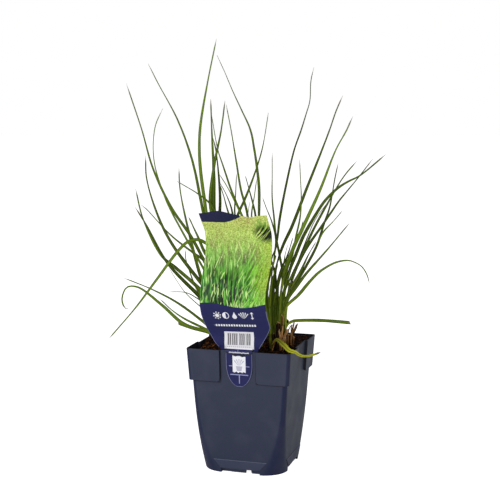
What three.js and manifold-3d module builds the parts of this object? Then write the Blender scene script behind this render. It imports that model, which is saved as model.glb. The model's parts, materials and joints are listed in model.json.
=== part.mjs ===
// Switchgrass in a square nursery pot, with the plastic plant label hooked on its rim.
// Millimetres, +Z up. The origin is the middle of the pot's base, at the height of its feet.
//
// The clump is described in its own directions: u across its widest spread, v away through
// it and z up. It stands turned by PLANT_TURN in the pot, whose sides lie along X and Y.

import * as THREE from "three";
import Module from "manifold-3d";

const wasm = await Module();
wasm.setup();

// ---------------------------------------------------------------- driving dimensions

const GAP = 0.35; // air between pieces that touch on the real thing

const POT_HEIGHT = 130;
const RIM_HALF = 55; // half the outer width of the rim
const BAND_HEIGHT = 33; // the proud corner bands under the rim
const BAND_STEP = 2.5; // how far the bands stand out from the wall
const BASE_HALF = 44;
const WALL = 1.2;
const FLOOR_UNDER = 5; // underside of the floor between the feet
const ARCH_WIDTH = 41; // gap between two feet on each side
const RECESS_WIDTH = 38; // middle of each side, where the band is left out
const RIM_CORNER = 4; // radius of the rim's corners
const BAND_CORNER = 4; // radius of a band's lower corner
const CORNER_RADIUS = 5.5; // of the walls, above CORNERS_OPEN_AT
const CORNERS_OPEN_AT = 75; // below this height the corners widen
const FOOT_CORNER_EXTRA = 19; // how much wider they are at the foot
const FOOT_PLATE_TOP = 14; // an upright flat plate above each arch
const FOOT_PLATE_WIDTH = 57;
const FOOT_PLATE_STEP = 0.4; // how far its top edge stands out from the tapered wall

const SOIL_FRONT = 123.6; // level of the mix along the front wall
const SOIL_RISE = 4.4; // how much higher it lies behind the clump
const ROOTED_AT = 108; // foot of every stem, inside the mix

const LABEL_THICKNESS = 0.6;
const LABEL_WIDTH = 69;
const LABEL_WAIST = 36;
const TONGUE_WIDTH = 27.5;

const PLANT_TURN = THREE.MathUtils.degToRad(16.7);
const LEAF_THICKNESS = 0.9; // at the midrib, the edges are sharp
const LEAF_STEP = 15; // length of leaf between two sections
const STEM_STEP = 20;

// ---------------------------------------------------------------- materials

const finish = (color, roughness) => new THREE.MeshStandardMaterial({ color, roughness, metalness: 0 });
const potPlastic = finish(0x3b3e50, 0.55);
const pottingMix = finish(0x2a1d16, 0.95);
const labelPlastic = finish(0x2b2a62, 0.35);
const leafGreen = finish(0x53691f, 0.5);
const deadStraw = finish(0xb98f57, 0.8);

// ---------------------------------------------------------------- shared helpers

// A closed solid through rings of equal count, each turning left-handed against the way of travel.
// foldAt names the corner that both end caps are split from.
function loft(rings, foldAt = 0) {
  const count = rings[0].length;
  const triangles = [];
  for (let ring = 0; ring + 1 < rings.length; ring += 1) {
    for (let corner = 0; corner < count; corner += 1) {
      const a = ring * count + corner;
      const b = ring * count + ((corner + 1) % count);
      triangles.push(a, b, b + count, a, b + count, a + count);
    }
  }
  const last = (rings.length - 1) * count;
  for (let step = 1; step + 1 < count; step += 1) {
    const b = (foldAt + step) % count;
    const c = (foldAt + step + 1) % count;
    triangles.push(foldAt, c, b);
    triangles.push(last + foldAt, last + b, last + c);
  }
  const corners = rings.flat().flatMap((point) => [point.x, point.y, point.z]);
  return new wasm.Manifold(
    new wasm.Mesh({
      numProp: 3,
      vertProperties: new Float32Array(corners),
      triVerts: new Uint32Array(triangles),
    }),
  );
}

function geometryOf(solid) {
  const mesh = solid.getMesh();
  const geometry = new THREE.BufferGeometry();
  geometry.setAttribute("position", new THREE.BufferAttribute(mesh.vertProperties, 3));
  geometry.setIndex(new THREE.BufferAttribute(mesh.triVerts, 1));
  geometry.computeVertexNormals();
  return geometry;
}

function union(solids) {
  return solids.reduce((whole, solid) => whole.add(solid));
}

// An upright prism of any outline, from one height to another.
function prism(outline, bottom, top) {
  const ringAt = (z) => outline.map(([x, y]) => new THREE.Vector3(x, y, z));
  return loft([ringAt(bottom), ringAt(top)]);
}

function block(x0, x1, y0, y1, z0, z1) {
  return prism([[x0, y0], [x1, y0], [x1, y1], [x0, y1]], z0, z1);
}

// A prism right through the pot from front to back, whose outline is given as [x, z].
function wallPrism(outline) {
  return prism(outline, -RIM_HALF * 2, RIM_HALF * 2).rotate([90, 0, 0]);
}

// The same thing on all four sides of the pot.
function onFourSides(solid) {
  return union([0, 90, 180, 270].map((angle) => solid.rotate([0, 0, angle])));
}

// ---------------------------------------------------------------- pot

const wallHalfAt = (z) => THREE.MathUtils.mapLinear(z, 0, POT_HEIGHT, BASE_HALF, RIM_HALF - BAND_STEP);

// The corners are wide curves at the foot and tighten upwards.
function cornerRadiusAt(z) {
  const below = Math.max(0, 1 - z / CORNERS_OPEN_AT);
  return CORNER_RADIUS + FOOT_CORNER_EXTRA * below * below;
}

function roundedSquare(half, radius, z) {
  const ring = [];
  const steps = 5;
  for (let quarter = 0; quarter < 4; quarter += 1) {
    for (let step = 0; step <= steps; step += 1) {
      const turn = (quarter + step / steps) * (Math.PI / 2);
      const centre = new THREE.Vector2(half - radius, half - radius);
      centre.rotateAround(new THREE.Vector2(0, 0), quarter * (Math.PI / 2));
      const corner = new THREE.Vector2(radius * Math.cos(turn), radius * Math.sin(turn)).add(centre);
      ring.push(new THREE.Vector3(corner.x, corner.y, z));
    }
  }
  return ring;
}

// The tapered body, drawn in by an inset, between two heights.
function potBody(inset, bottom, top) {
  const heights = [bottom, 10, 20, 32, 48, CORNERS_OPEN_AT].filter((z) => z >= bottom && z < top);
  heights.push(top);
  return loft(heights.map((z) => roundedSquare(wallHalfAt(z) - inset, cornerRadiusAt(z) - inset, z)));
}

// The four proud bands at the corners of the rim, drawn in by an inset. Their lower corners
// beside the middle of each side are rounded.
function rimBands(inset, bottom, top) {
  const bandHalfAt = (z) => wallHalfAt(z) + BAND_STEP;
  const ringAt = (z) => roundedSquare(bandHalfAt(z) - inset, RIM_CORNER - inset, z);
  const around = loft([ringAt(bottom), ringAt(top)]);
  const middle = RECESS_WIDTH / 2 + inset;
  const rightSide = [[middle, top + 1], [middle, bottom + BAND_CORNER]];
  for (const turn of [30, 60, 90].map(THREE.MathUtils.degToRad)) {
    rightSide.push([
      middle + BAND_CORNER * (1 - Math.cos(turn)),
      bottom + BAND_CORNER * (1 - Math.sin(turn)),
    ]);
  }
  rightSide.push([middle + BAND_CORNER, bottom - 1]);
  const leftSide = rightSide.map(([x, z]) => [-x, z]).reverse();
  const across = wallPrism([...leftSide, ...rightSide].reverse());
  return around.subtract(across).subtract(across.rotate([0, 0, 90]));
}

// The room inside the walls, less a gap.
function potRoom(gap, bottom, top) {
  const bandFoot = POT_HEIGHT - BAND_HEIGHT + WALL + gap;
  const room = potBody(WALL + gap, bottom, top);
  return top > bandFoot ? room.add(rimBands(WALL + gap, bandFoot, top)) : room;
}

// An upright plate on the foot of the front wall, which tapers behind it.
function footPlate() {
  const face = wallHalfAt(FOOT_PLATE_TOP) + FOOT_PLATE_STEP;
  const top = FOOT_PLATE_WIDTH / 2;
  const foot = ARCH_WIDTH / 2;
  const ringAt = (y) => [
    new THREE.Vector3(-foot, y, FLOOR_UNDER),
    new THREE.Vector3(foot, y, FLOOR_UNDER),
    new THREE.Vector3(top, y, FOOT_PLATE_TOP),
    new THREE.Vector3(-top, y, FOOT_PLATE_TOP),
  ];
  return loft([ringAt(WALL - face), ringAt(-face)]);
}

// A notch in the skirt of the front side, wider at its foot.
function skirtNotch(middle) {
  const footHalf = 3.4;
  const topHalf = 2.2;
  const behindSkirt = -38;
  const beforeSkirt = -50;
  const ringAt = (y) => [
    new THREE.Vector3(middle - footHalf, y, -1),
    new THREE.Vector3(middle + footHalf, y, -1),
    new THREE.Vector3(middle + topHalf, y, FLOOR_UNDER),
    new THREE.Vector3(middle - topHalf, y, FLOOR_UNDER),
  ];
  return loft([ringAt(behindSkirt), ringAt(beforeSkirt)]);
}

function makePot() {
  const body = potBody(0, 0, POT_HEIGHT).add(onFourSides(footPlate()));
  const outside = body.add(rimBands(0, POT_HEIGHT - BAND_HEIGHT, POT_HEIGHT));
  const floorTop = FLOOR_UNDER + WALL;
  const archHalf = ARCH_WIDTH / 2;
  const channel = block(-archHalf, archHalf, -RIM_HALF, RIM_HALF, -1, FLOOR_UNDER);
  const crossChannel = channel.add(channel.rotate([0, 0, 90]));
  const skirtHalf = archHalf + 1;
  const skirtBack = 1.8; // how far the skirt under the floor stands behind the arch
  const skirtFoot = 0.8;
  const skirtFront = skirtBack - BASE_HALF;
  const skirtTop = FLOOR_UNDER + 0.5;
  const skirt = block(-skirtHalf, skirtHalf, skirtFront, skirtFront + WALL, skirtFoot, skirtTop);
  const notchMiddle = 8.6; // a notch in the skirt, with a drain slot behind it
  const slotHalf = 7;
  const drainSlot = block(notchMiddle - slotHalf, notchMiddle + slotHalf, -34, -30, 0, floorTop + 1);
  return outside
    .subtract(potRoom(0, floorTop, POT_HEIGHT + 1))
    .subtract(crossChannel)
    .add(onFourSides(skirt))
    .subtract(onFourSides(skirtNotch(notchMiddle).add(drainSlot)));
}

// ---------------------------------------------------------------- the clump's directions and curves

const AWAY = new THREE.Vector3(0, 1, 0).applyAxisAngle(new THREE.Vector3(0, 0, 1), PLANT_TURN);

function inPot([u, v, z]) {
  return new THREE.Vector3(u, v, z).applyAxisAngle(new THREE.Vector3(0, 0, 1), PLANT_TURN);
}

const smoothCurve = (points) => new THREE.CatmullRomCurve3(points.map(inPot), false, "centripetal");

// Across and up directions of a blade at one place on its curve. A turn of 0 shows its whole
// width from the front, a quarter turn shows its edge.
function bladeFrame(curve, at, turn) {
  const along = curve.getTangentAt(at);
  const flat = new THREE.Vector3().crossVectors(AWAY, along).normalize();
  const across = flat.applyAxisAngle(along, THREE.MathUtils.degToRad(turn));
  const up = new THREE.Vector3().crossVectors(along, across);
  return { across, up };
}

// ---------------------------------------------------------------- leaves and stems

// A leaf is narrow where it leaves the sheath, widest a third of the way and fine at its tip.
// A cut leaf keeps its width to the end.
function leafWidthAt(at, isCut) {
  const root = Math.min(1, 0.65 + at * 1.6);
  return isCut ? root : root * Math.max(0.08, 1 - at * at);
}

const leaf = (width, turn, twist, ...points) => ({ width, turn, twist, points });
const cutLeaf = (width, turn, twist, ...points) => ({ width, turn, twist, points, isCut: true });

// One folded blade: two sharp edges raised a little beside a midrib.
function leafSolid({ width, turn, twist, points, isCut = false }) {
  const curve = smoothCurve(points);
  const sections = THREE.MathUtils.clamp(Math.round(curve.getLength() / LEAF_STEP), 5, 14);
  const rings = [];
  for (let section = 0; section <= sections; section += 1) {
    const at = section / sections;
    const centre = curve.getPointAt(at);
    const { across, up } = bladeFrame(curve, at, turn + twist * at);
    const half = (width / 2) * leafWidthAt(at, isCut);
    const thick = (LEAF_THICKNESS / 2) * Math.max(0.45, Math.min(1, half));
    const fold = half * 0.22;
    const corner = (sideways, raised) =>
      centre.clone().addScaledVector(across, sideways).addScaledVector(up, raised);
    rings.push([corner(half, fold), corner(0, thick), corner(-half, fold), corner(0, -thick)]);
  }
  return loft(rings, 1);
}

// A stem wrapped in its sheaths: six-sided and thinner upwards.
function stemSolid({ radius, path }) {
  const curve = smoothCurve(path);
  const sections = Math.max(3, Math.round(curve.getLength() / STEM_STEP));
  const rings = [];
  for (let section = 0; section <= sections; section += 1) {
    const at = section / sections;
    const centre = curve.getPointAt(at);
    const { across, up } = bladeFrame(curve, at, 0);
    const size = radius * (1 - 0.5 * at);
    const ring = [];
    for (let side = 0; side < 6; side += 1) {
      const turn = (side / 6) * Math.PI * 2;
      const point = centre.clone().addScaledVector(across, size * Math.cos(turn));
      ring.push(point.addScaledVector(up, size * Math.sin(turn)));
    }
    rings.push(ring);
  }
  return loft(rings);
}

// A stem stands straight in the mix before it leans.
const stem = (radius, [u, v], ...above) => ({
  radius,
  path: [[u, v, ROOTED_AT], [u, v, ROOTED_AT + 9], [u, v, ROOTED_AT + 19], ...above],
});

// ---------------------------------------------------------------- the leafy stems

// Points are [u, v, z] from the root of a leaf to its tip, and leaves are listed from the
// lowest to the one that the stem ends in.
const tillers = {
  tiller_low_left: {
    stem: stem(2.2, [-27, -1], [-28, 0, 160], [-32, 0, 205], [-37, 0, 240]),
    leaves: [
      cutLeaf(3, -50, 20, [-28, -1, 128], [-45, -2, 138], [-64, 0, 143], [-78, 1, 148]),
      leaf(5, -25, 10, [-28, -1, 129], [-45, -8, 140], [-71, -13, 150], [-94, -16, 171],
        [-118, -19, 190], [-129, -20, 190], [-134, -21, 178], [-131, -22, 169], [-127, -22, 168]),
      leaf(4.2, -30, 0, [-28, -1, 130], [-47, -9, 143], [-71, -17, 157], [-83, -19, 166],
        [-95, -21, 178]),
      leaf(4.2, -30, 0, [-28, -1, 131], [-48, -4, 148], [-78, -5, 171], [-105, -7, 186], [-133, -9, 198]),
      leaf(4.6, -20, 10, [-28, 0, 152], [-45, -2, 180], [-56, 0, 194], [-84, 3, 232], [-98, 5, 260],
        [-110, 7, 300], [-111, 9, 324]),
      leaf(4.4, -15, 0, [-36, 0, 232], [-40, -1, 268], [-40, 0, 300], [-42, 1, 350], [-43, 2, 382]),
    ],
  },
  tiller_left: {
    stem: stem(2.1, [-19, 7], [-20, 9, 160], [-21, 12, 205], [-20, 16, 235]),
    leaves: [
      leaf(4.8, -160, -20, [-19, 7, 132], [-36, 8, 156], [-57, 9, 177], [-90, 11, 212], [-110, 12, 249],
        [-123, 13, 270]),
      leaf(2, -40, 10, [-20, 8, 136], [-40, 13, 152], [-56, 17, 164], [-73, 24, 179], [-89, 28, 203]),
      leaf(5, -15, 0, [-19, 7, 138], [-36, 9, 161], [-57, 12, 184], [-80, 17, 204], [-96, 21, 217],
        [-116, 26, 256], [-124, 30, 288]),
      leaf(3.2, -30, -10, [-20, 8, 142], [-40, 11, 162], [-56, 10, 172], [-70, 8, 180], [-88, 7, 181]),
      leaf(3.2, -20, -20, [-20, 15, 228], [-21, 18, 263], [-27, 22, 281], [-34, 25, 294]),
    ],
  },
  tiller_left_front: {
    stem: stem(2.2, [-13, -4], [-17, -5, 160], [-24, -7, 205], [-31, -8, 238]),
    leaves: [
      leaf(3.1, -20, -15, [-16, -5, 150], [-36, -9, 180], [-52, -10, 210], [-71, -12, 244], [-89, -16, 281],
        [-100, -20, 321], [-98, -23, 354], [-90, -25, 372]),
      leaf(3.2, -30, 10, [-16, -5, 152], [-40, -11, 167], [-56, -12, 184], [-65, -14, 206], [-69, -16, 222],
        [-68, -17, 229]),
      leaf(3.7, -165, -10, [-17, -5, 155], [-36, -7, 187], [-51, -5, 217], [-64, -3, 241], [-84, 1, 270],
        [-103, 6, 310], [-115, 11, 351], [-131, 18, 398]),
      leaf(4.2, -125, -70, [-22, -6, 198], [-34, -11, 225], [-48, -16, 235], [-56, -19, 239],
        [-66, -22, 237],
        [-75, -26, 229], [-98, -35, 199], [-117, -43, 174], [-145, -55, 142]),
      leaf(3.2, -30, 0, [-31, -8, 234], [-35, -13, 258], [-43, -16, 275], [-56, -18, 286],
        [-77, -21, 299]),
      leaf(4.2, -15, 20, [-30, -8, 230], [-43, -9, 271], [-40, -10, 310], [-32, -12, 350], [-28, -13, 380]),
    ],
  },
  tiller_back_left: {
    stem: stem(2.1, [-26, 16], [-30, 17, 160], [-36, 18, 200], [-43, 19, 235]),
    leaves: [
      leaf(4.4, 20, 20, [-28, 17, 148], [-31, 34, 192], [-34, 55, 224], [-38, 78, 236], [-41, 97, 226]),
      leaf(4.4, -160, 0, [-27, 16, 140], [-38, 18, 160], [-50, 19, 182], [-55, 19, 195], [-67, 18, 242],
        [-76, 17, 288], [-77, 16, 311]),
      leaf(4, -25, -10, [-30, 17, 160], [-38, 20, 190], [-51, 24, 211], [-65, 27, 221], [-87, 31, 238],
        [-113, 38, 265], [-119, 40, 270]),
      leaf(4.6, -25, 10, [-37, 18, 203], [-50, 14, 221], [-58, 12, 240], [-67, 11, 260]),
      leaf(3.9, -25, -20, [-42, 19, 228], [-52, 19, 263], [-55, 20, 278], [-64, 25, 319], [-79, 32, 360],
        [-101, 38, 401], [-110, 40, 419]),
    ],
  },
  tiller_tall_left: {
    stem: stem(2.1, [-36, 4], [-38, 4, 165], [-42, 4, 205], [-45, 4, 240]),
    leaves: [
      leaf(4.2, -15, 20, [-41, 4, 200], [-37, 6, 238], [-34, 7, 268], [-34, 8, 285], [-38, 9, 329],
        [-41, 9, 342]),
      leaf(4, -15, 15, [-44, 4, 232], [-49, 3, 270], [-54, 3, 310], [-55, 3, 330], [-54, 4, 353],
        [-46, 6, 400], [-37, 8, 443]),
    ],
  },
  tiller_middle_left: {
    stem: stem(2, [-5, -7], [-6, -6, 170], [-7, -6, 215], [-6, -6, 240]),
    leaves: [
      leaf(2.8, 40, -30, [-7, -6, 210], [-14, -18, 245], [-18, -28, 267], [-17, -38, 288], [-16, -47, 308]),
      leaf(3.2, -30, 10, [-7, -6, 218], [-17, -8, 248], [-25, -8, 266], [-30, -9, 284], [-34, -9, 296]),
      leaf(2.2, 30, 20, [-6, -6, 234], [-5, -9, 262], [-3, -11, 277]),
      leaf(3.2, -25, -10, [-6, -6, 230], [-5, -5, 262], [-12, -4, 290], [-17, -3, 320], [-22, -2, 350],
        [-27, -1, 376]),
    ],
  },
  tiller_middle: {
    stem: stem(2.2, [2, 7], [4, 8, 175], [6, 9, 225], [7, 10, 250]),
    leaves: [
      leaf(3.4, 20, 20, [5, 9, 210], [4, 20, 240], [3, 35, 259], [-4, 62, 286], [-8, 85, 299]),
      leaf(3.8, -20, -50, [7, 10, 240], [7, 11, 265], [7, 14, 290], [5, 18, 310], [2, 23, 330],
        [-2, 29, 350],
        [-11, 37, 370], [-21, 46, 391], [-30, 55, 412], [-38, 62, 429]),
    ],
  },
  tiller_middle_right: {
    stem: stem(2.1, [10, -7], [10, -7, 170], [9, -6, 205], [6, -5, 232]),
    leaves: [
      leaf(3, 40, -20, [9, -6, 200], [4, -12, 235], [-1, -18, 262], [2, -28, 286], [4, -36, 302]),
      leaf(3.2, -30, 10, [8, -6, 208], [1, -11, 238], [-5, -13, 252], [-13, -14, 267], [-26, -16, 293],
        [-34, -17, 306]),
      leaf(3.6, -30, -20, [7, -5, 222], [-1, 2, 246], [-10, 7, 260], [-21, 12, 285], [-31, 16, 314],
        [-36, 18, 329], [-43, 20, 367]),
    ],
  },
  tiller_middle_back: {
    stem: stem(2.1, [-9, 16], [-12, 17, 165], [-17, 18, 205], [-20, 21, 232]),
    leaves: [
      leaf(4.4, 15, 20, [-11, 17, 148], [-14, 37, 188], [-12, 60, 220], [-8, 82, 230], [-5, 99, 220]),
      leaf(3.4, 25, 20, [-20, 20, 225], [-21, 22, 243], [-16, 24, 260], [-8, 28, 278], [0, 33, 298],
        [10, 40, 329], [17, 52, 368]),
    ],
  },
  tiller_right_front: {
    stem: stem(2, [19, -5], [18, -5, 152], [15, -5, 175], [16, -5, 191], [24, -4, 221]),
    leaves: [
      leaf(2.6, 45, -20, [22, -4, 214], [24, -8, 238], [20, -10, 256], [14, -12, 271], [10, -13, 282]),
      leaf(3, 20, 10, [22, -4, 213], [26, -3, 240], [28, -2, 258], [36, 0, 300], [43, 2, 330],
        [50, 4, 350],
        [55, 6, 366], [59, 8, 380], [60, 10, 400], [63, 12, 414]),
    ],
  },
  tiller_right_inner: {
    stem: stem(2, [19, -11], [18, -11, 149], [17, -10, 167], [15, -10, 183]),
    leaves: [
      leaf(3.4, -30, 20, [17, -10, 165], [18, -11, 179], [19, -12, 190], [22, -13, 203], [24, -14, 212]),
      leaf(3.6, 20, 20, [16, -10, 180], [16, -10, 195], [17, -10, 208], [20, -9, 219], [23, -9, 228],
        [24, -9, 238]),
    ],
  },
  tiller_right_bright: {
    stem: stem(2, [19, 2], [20, 2, 141], [21, 2, 161], [23, 1, 175], [26, 1, 188]),
    leaves: [
      leaf(3.4, -20, 10, [21, 2, 163], [22, 2, 175], [21, 2, 188], [20, 3, 200], [19, 3, 209]),
      leaf(3.8, 30, 10, [25, 1, 185], [28, 1, 198], [31, 0, 208], [36, 0, 219], [39, -1, 229],
        [42, -1, 240]),
    ],
  },
  tiller_right_middle: {
    stem: stem(2, [24, 3], [25, 3, 141], [24, 4, 162], [25, 4, 180]),
    leaves: [
      leaf(3.6, -30, 10, [25, 4, 178], [24, 4, 191], [23, 4, 203], [20, 4, 212], [18, 4, 224],
        [17, 4, 233]),
      leaf(3.2, 30, 10, [24, 4, 171], [26, 5, 183], [29, 6, 195], [33, 6, 206], [36, 7, 216]),
    ],
  },
  tiller_right_inner_low: {
    stem: stem(2, [29, -4], [29, -4, 145], [29, -4, 166], [30, -3, 183]),
    leaves: [
      leaf(3.6, 25, 10, [30, -3, 180], [32, -5, 195], [34, -6, 208], [39, -7, 220], [44, -8, 233],
        [49, -9, 246], [52, -9, 258]),
      leaf(3.2, -30, 10, [29, -3, 161], [27, -3, 174], [25, -3, 185], [24, -3, 196], [25, -3, 208]),
    ],
  },
  tiller_right_tall: {
    stem: stem(2.1, [22, 8], [22, 9, 160], [22, 10, 190], [26, 11, 210]),
    leaves: [
      leaf(4.2, 30, -20, [23, 10, 200], [27, 11, 213], [32, 12, 229], [41, 14, 248], [57, 19, 289],
        [73, 25, 329],
        [81, 28, 350], [88, 31, 370], [95, 33, 386]),
    ],
  },
  tiller_right_low: {
    stem: stem(2.1, [27, -10], [28, -10, 155], [29, -10, 180], [32, -11, 200]),
    leaves: [
      leaf(4.1, 20, 0, [28, -10, 148], [33, -12, 166], [37, -14, 178], [44, -16, 188], [54, -20, 203],
        [66, -25, 218], [78, -30, 233], [97, -38, 258]),
      leaf(2.4, 30, 20, [31, -10, 193], [33, -12, 220], [36, -13, 233]),
      leaf(4.6, 155, 0, [30, -10, 188], [32, -11, 200], [37, -12, 216], [43, -13, 232], [52, -15, 252],
        [69, -19, 291], [84, -23, 331], [94, -26, 350], [100, -28, 364]),
    ],
  },
  tiller_right_wide: {
    stem: stem(2.2, [31, 1], [31, 1, 150], [34, 1, 185], [37, 1, 200]),
    leaves: [
      leaf(2.8, 30, -50, [32, 1, 160], [36, 0, 206], [41, -2, 220], [45, -4, 241], [49, -5, 261],
        [50, -6, 281],
        [49, -7, 301], [48, -8, 321]),
      leaf(5, 50, -60, [33, 1, 172], [39, 1, 204], [45, 1, 220], [53, 2, 240], [64, 2, 260], [75, 3, 277],
        [88, 4, 290], [99, 5, 297], [111, 6, 303], [138, 8, 325]),
      leaf(3.8, 45, -50, [34, 1, 182], [42, 0, 201], [49, -2, 216], [63, -5, 248], [78, -8, 277],
        [93, -11, 303],
        [106, -13, 319]),
    ],
  },
  tiller_right_back: {
    stem: stem(2.1, [34, 11], [35, 12, 155], [39, 13, 190]),
    leaves: [
      leaf(3.8, 145, 0, [37, 13, 172], [44, 15, 199], [54, 19, 220], [63, 23, 234], [72, 28, 246],
        [82, 32, 260],
        [92, 36, 274], [103, 40, 287], [114, 43, 300], [129, 47, 319]),
      leaf(3.8, 25, 10, [38, 13, 180], [51, 15, 202], [59, 16, 219], [67, 17, 233]),
      leaf(2.8, 30, 30, [38, 13, 178], [46, 14, 205], [58, 12, 239], [66, 12, 257], [80, 12, 277]),
    ],
  },
  tiller_far_right: {
    stem: stem(2.1, [26, 19], [28, 20, 150], [31, 22, 182]),
    leaves: [
      leaf(4.2, 35, -15, [29, 21, 162], [45, 28, 184], [53, 34, 196], [62, 40, 211], [70, 46, 226],
        [78, 54, 249],
        [84, 60, 265], [90, 68, 296], [94, 72, 314]),
      leaf(3.1, 25, 0, [55, 35, 199], [66, 44, 219], [76, 50, 239], [88, 56, 251], [98, 61, 262]),
      leaf(3, -20, -10, [30, 21, 172], [32, 22, 197], [29, 24, 217], [25, 27, 237], [23, 31, 257],
        [21, 35, 278],
        [21, 39, 303], [21, 43, 326]),
    ],
  },
  tiller_right_arching: {
    stem: stem(2, [34, -14], [34, -14, 140], [34.5, -14, 165]),
    leaves: [
      cutLeaf(3.8, 20, -10, [34.5, -14, 144], [37, -15, 151], [42, -16, 154], [49, -18, 155], [64, -19, 155.4],
        [80, -21, 155], [100, -25, 154]),
      leaf(4.4, 15, 30, [33, -14, 158], [36, -15, 170], [47, -17, 181], [58, -20, 195], [68, -23, 206],
        [78, -25, 213], [86, -27, 217], [97, -30, 219], [104, -32, 217], [110, -34, 213.5], [115, -36, 206],
        [118, -37, 196]),
    ],
  },
  tiller_over_rim: {
    stem: stem(1.7, [20, -17], [21, -18, 134]),
    leaves: [
      leaf(4.4, 110, 20, [20, -17, 129], [24, -26, 139], [31, -48, 137], [37, -64, 133], [42, -67, 132.4],
        [47, -67, 129], [56, -64, 128], [68, -60, 131]),
    ],
  },
  tiller_back: {
    stem: stem(2.1, [6, 25], [7, 27, 160], [8, 30, 195]),
    leaves: [
      leaf(4.2, 20, 20, [7, 26, 148], [10, 44, 183], [14, 62, 203], [17, 79, 204], [19, 93, 193]),
      leaf(4, -15, -20, [8, 29, 180], [4, 44, 212], [-2, 60, 234], [-8, 78, 246], [-12, 92, 244]),
      leaf(3.4, 30, 20, [8, 30, 188], [11, 35, 220], [11, 44, 246]),
    ],
  },
  tiller_far_back: {
    stem: stem(2, [-16, 28], [-18, 30, 160], [-22, 34, 196]),
    leaves: [
      leaf(4, 10, 20, [-17, 29, 146], [-24, 48, 180], [-29, 66, 196], [-33, 84, 188]),
      leaf(3.4, -30, -20, [-21, 33, 185], [-26, 40, 222], [-30, 50, 246]),
    ],
  },
};

function makeTiller({ stem: culm, leaves }) {
  return union([stemSolid(culm), ...leaves.map(leafSolid)]);
}

// ---------------------------------------------------------------- last year's cut stalks

// Hollow-looking dead stalks that lean out of one old crown.
const stubbles = {
  straw_stubble_right: {
    crown: [39, -3],
    stalks: [[40.5, -6, 148], [43.2, -3, 150], [46.5, -3, 148.5], [37, -5, 140], [41, 2, 138]],
  },
  straw_stubble_front: {
    crown: [29, -21],
    stalks: [[27, -22, 146], [31, -21, 149], [36.5, -22, 147], [33, -26, 139]],
  },
};

const STALK_RADIUS = 1.1;
const CROWN_SPREAD = 1.3;

function stalkSolids({ crown: [u, v], stalks }) {
  return stalks.map(([tipU, tipV, tipZ], index) => {
    const spread = (index / stalks.length) * Math.PI * 2;
    const besideU = u + CROWN_SPREAD * Math.cos(spread);
    const besideV = v + CROWN_SPREAD * Math.sin(spread);
    const path = [[besideU, besideV, ROOTED_AT], [besideU, besideV, ROOTED_AT + 19], [tipU, tipV, tipZ]];
    return stemSolid({ radius: STALK_RADIUS, path });
  });
}

// ---------------------------------------------------------------- potting mix

// Top of the mix: low along the front, higher behind the clump and lumpy all over.
function soilHeight(x, y) {
  const rise = SOIL_RISE * THREE.MathUtils.smoothstep(y, -22, 24);
  const lumps = 0.8 * Math.sin(x * 0.31 + 1.3) * Math.cos(y * 0.37) + 0.5 * Math.sin(x * 0.73 - y * 0.59);
  return SOIL_FRONT + rise + lumps;
}

// A grid of square cells under a height function, closed down to a flat bottom.
function heightBlock(half, cells, heightAt, bottom) {
  const rows = [];
  for (let row = 0; row <= cells; row += 1) {
    const y = -half + (2 * half * row) / cells;
    const top = [];
    for (let column = 0; column <= cells; column += 1) {
      const x = -half + (2 * half * column) / cells;
      top.push(new THREE.Vector3(x, y, heightAt(x, y)));
    }
    const under = [new THREE.Vector3(half, y, bottom), new THREE.Vector3(-half, y, bottom)];
    rows.push([...under, ...top]);
  }
  return loft(rows);
}

// A plain upright hole, a gap wider than the round thing in it.
function hole([u, v], radius) {
  const centre = inPot([u, v, 0]);
  const sides = 8;
  const reach = (radius + GAP) / Math.cos(Math.PI / sides);
  const outline = [];
  for (let side = 0; side < sides; side += 1) {
    const turn = (side / sides) * Math.PI * 2;
    outline.push([centre.x + reach * Math.cos(turn), centre.y + reach * Math.sin(turn)]);
  }
  return prism(outline, ROOTED_AT - GAP, POT_HEIGHT + 10);
}

function makeSoil() {
  const bottom = FLOOR_UNDER + WALL + GAP;
  const room = potRoom(GAP, bottom, POT_HEIGHT);
  const heap = heightBlock(RIM_HALF, 12, soilHeight, bottom - 1);
  const stemHoles = Object.values(tillers).map(({ stem: culm }) => hole(culm.path[0], culm.radius));
  const crownRadius = CROWN_SPREAD + STALK_RADIUS + GAP;
  const crownHoles = Object.values(stubbles).map(({ crown }) => hole(crown, crownRadius));
  const stakeSlot = sheetSolid(
    [[tailPlaneAt(POT_HEIGHT), POT_HEIGHT], [tailPlaneAt(STAKE_FOOT - 1), STAKE_FOOT - 1]],
    () => sameBothSides(LABEL_WAIST / 2 + GAP),
    LABEL_THICKNESS + 2 * GAP + 0.2,
    1,
  );
  return room.intersect(heap).subtract(union([...stemHoles, ...crownHoles])).subtract(stakeSlot);
}

// ---------------------------------------------------------------- plant label

const LABEL_MIDDLE = 1.5; // X of the label's middle
const STAKE_FOOT = 75;

// Y of the middle of the sheet where it lies along the inside and the outside of the front wall.
const tailPlaneAt = (z) => -(wallHalfAt(z) - WALL - GAP - LABEL_THICKNESS / 2);
const tonguePlaneAt = (z) => -(wallHalfAt(z) + GAP + LABEL_THICKNESS / 2 + 0.2);

// Side view of the sheet from its top edge to its waist, as [y, z]: it waves forward, back
// and forward again.
const labelSide = [
  [-74, 269.5], [-65.4, 260.6], [-56.2, 250.5], [-53.5, 241], [-54, 230], [-60, 216], [-69, 203],
  [-74.5, 192], [-75.5, 182], [-71, 171], [-61.5, 157.5], [-54.4, 146], [-52.8, 137],
  [tailPlaneAt(132), 132],
];

// Side view of the tongue from the waist, over the rim and down outside the wall.
const tongueSide = [
  [-53.5, 138], [-51.2, 133], [-52.2, 131.2], [-53.1, 130.4],
  ...[128.5, 117, 108, 101, 96, 93.2].map((z) => [tonguePlaneAt(z), z]),
];

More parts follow.
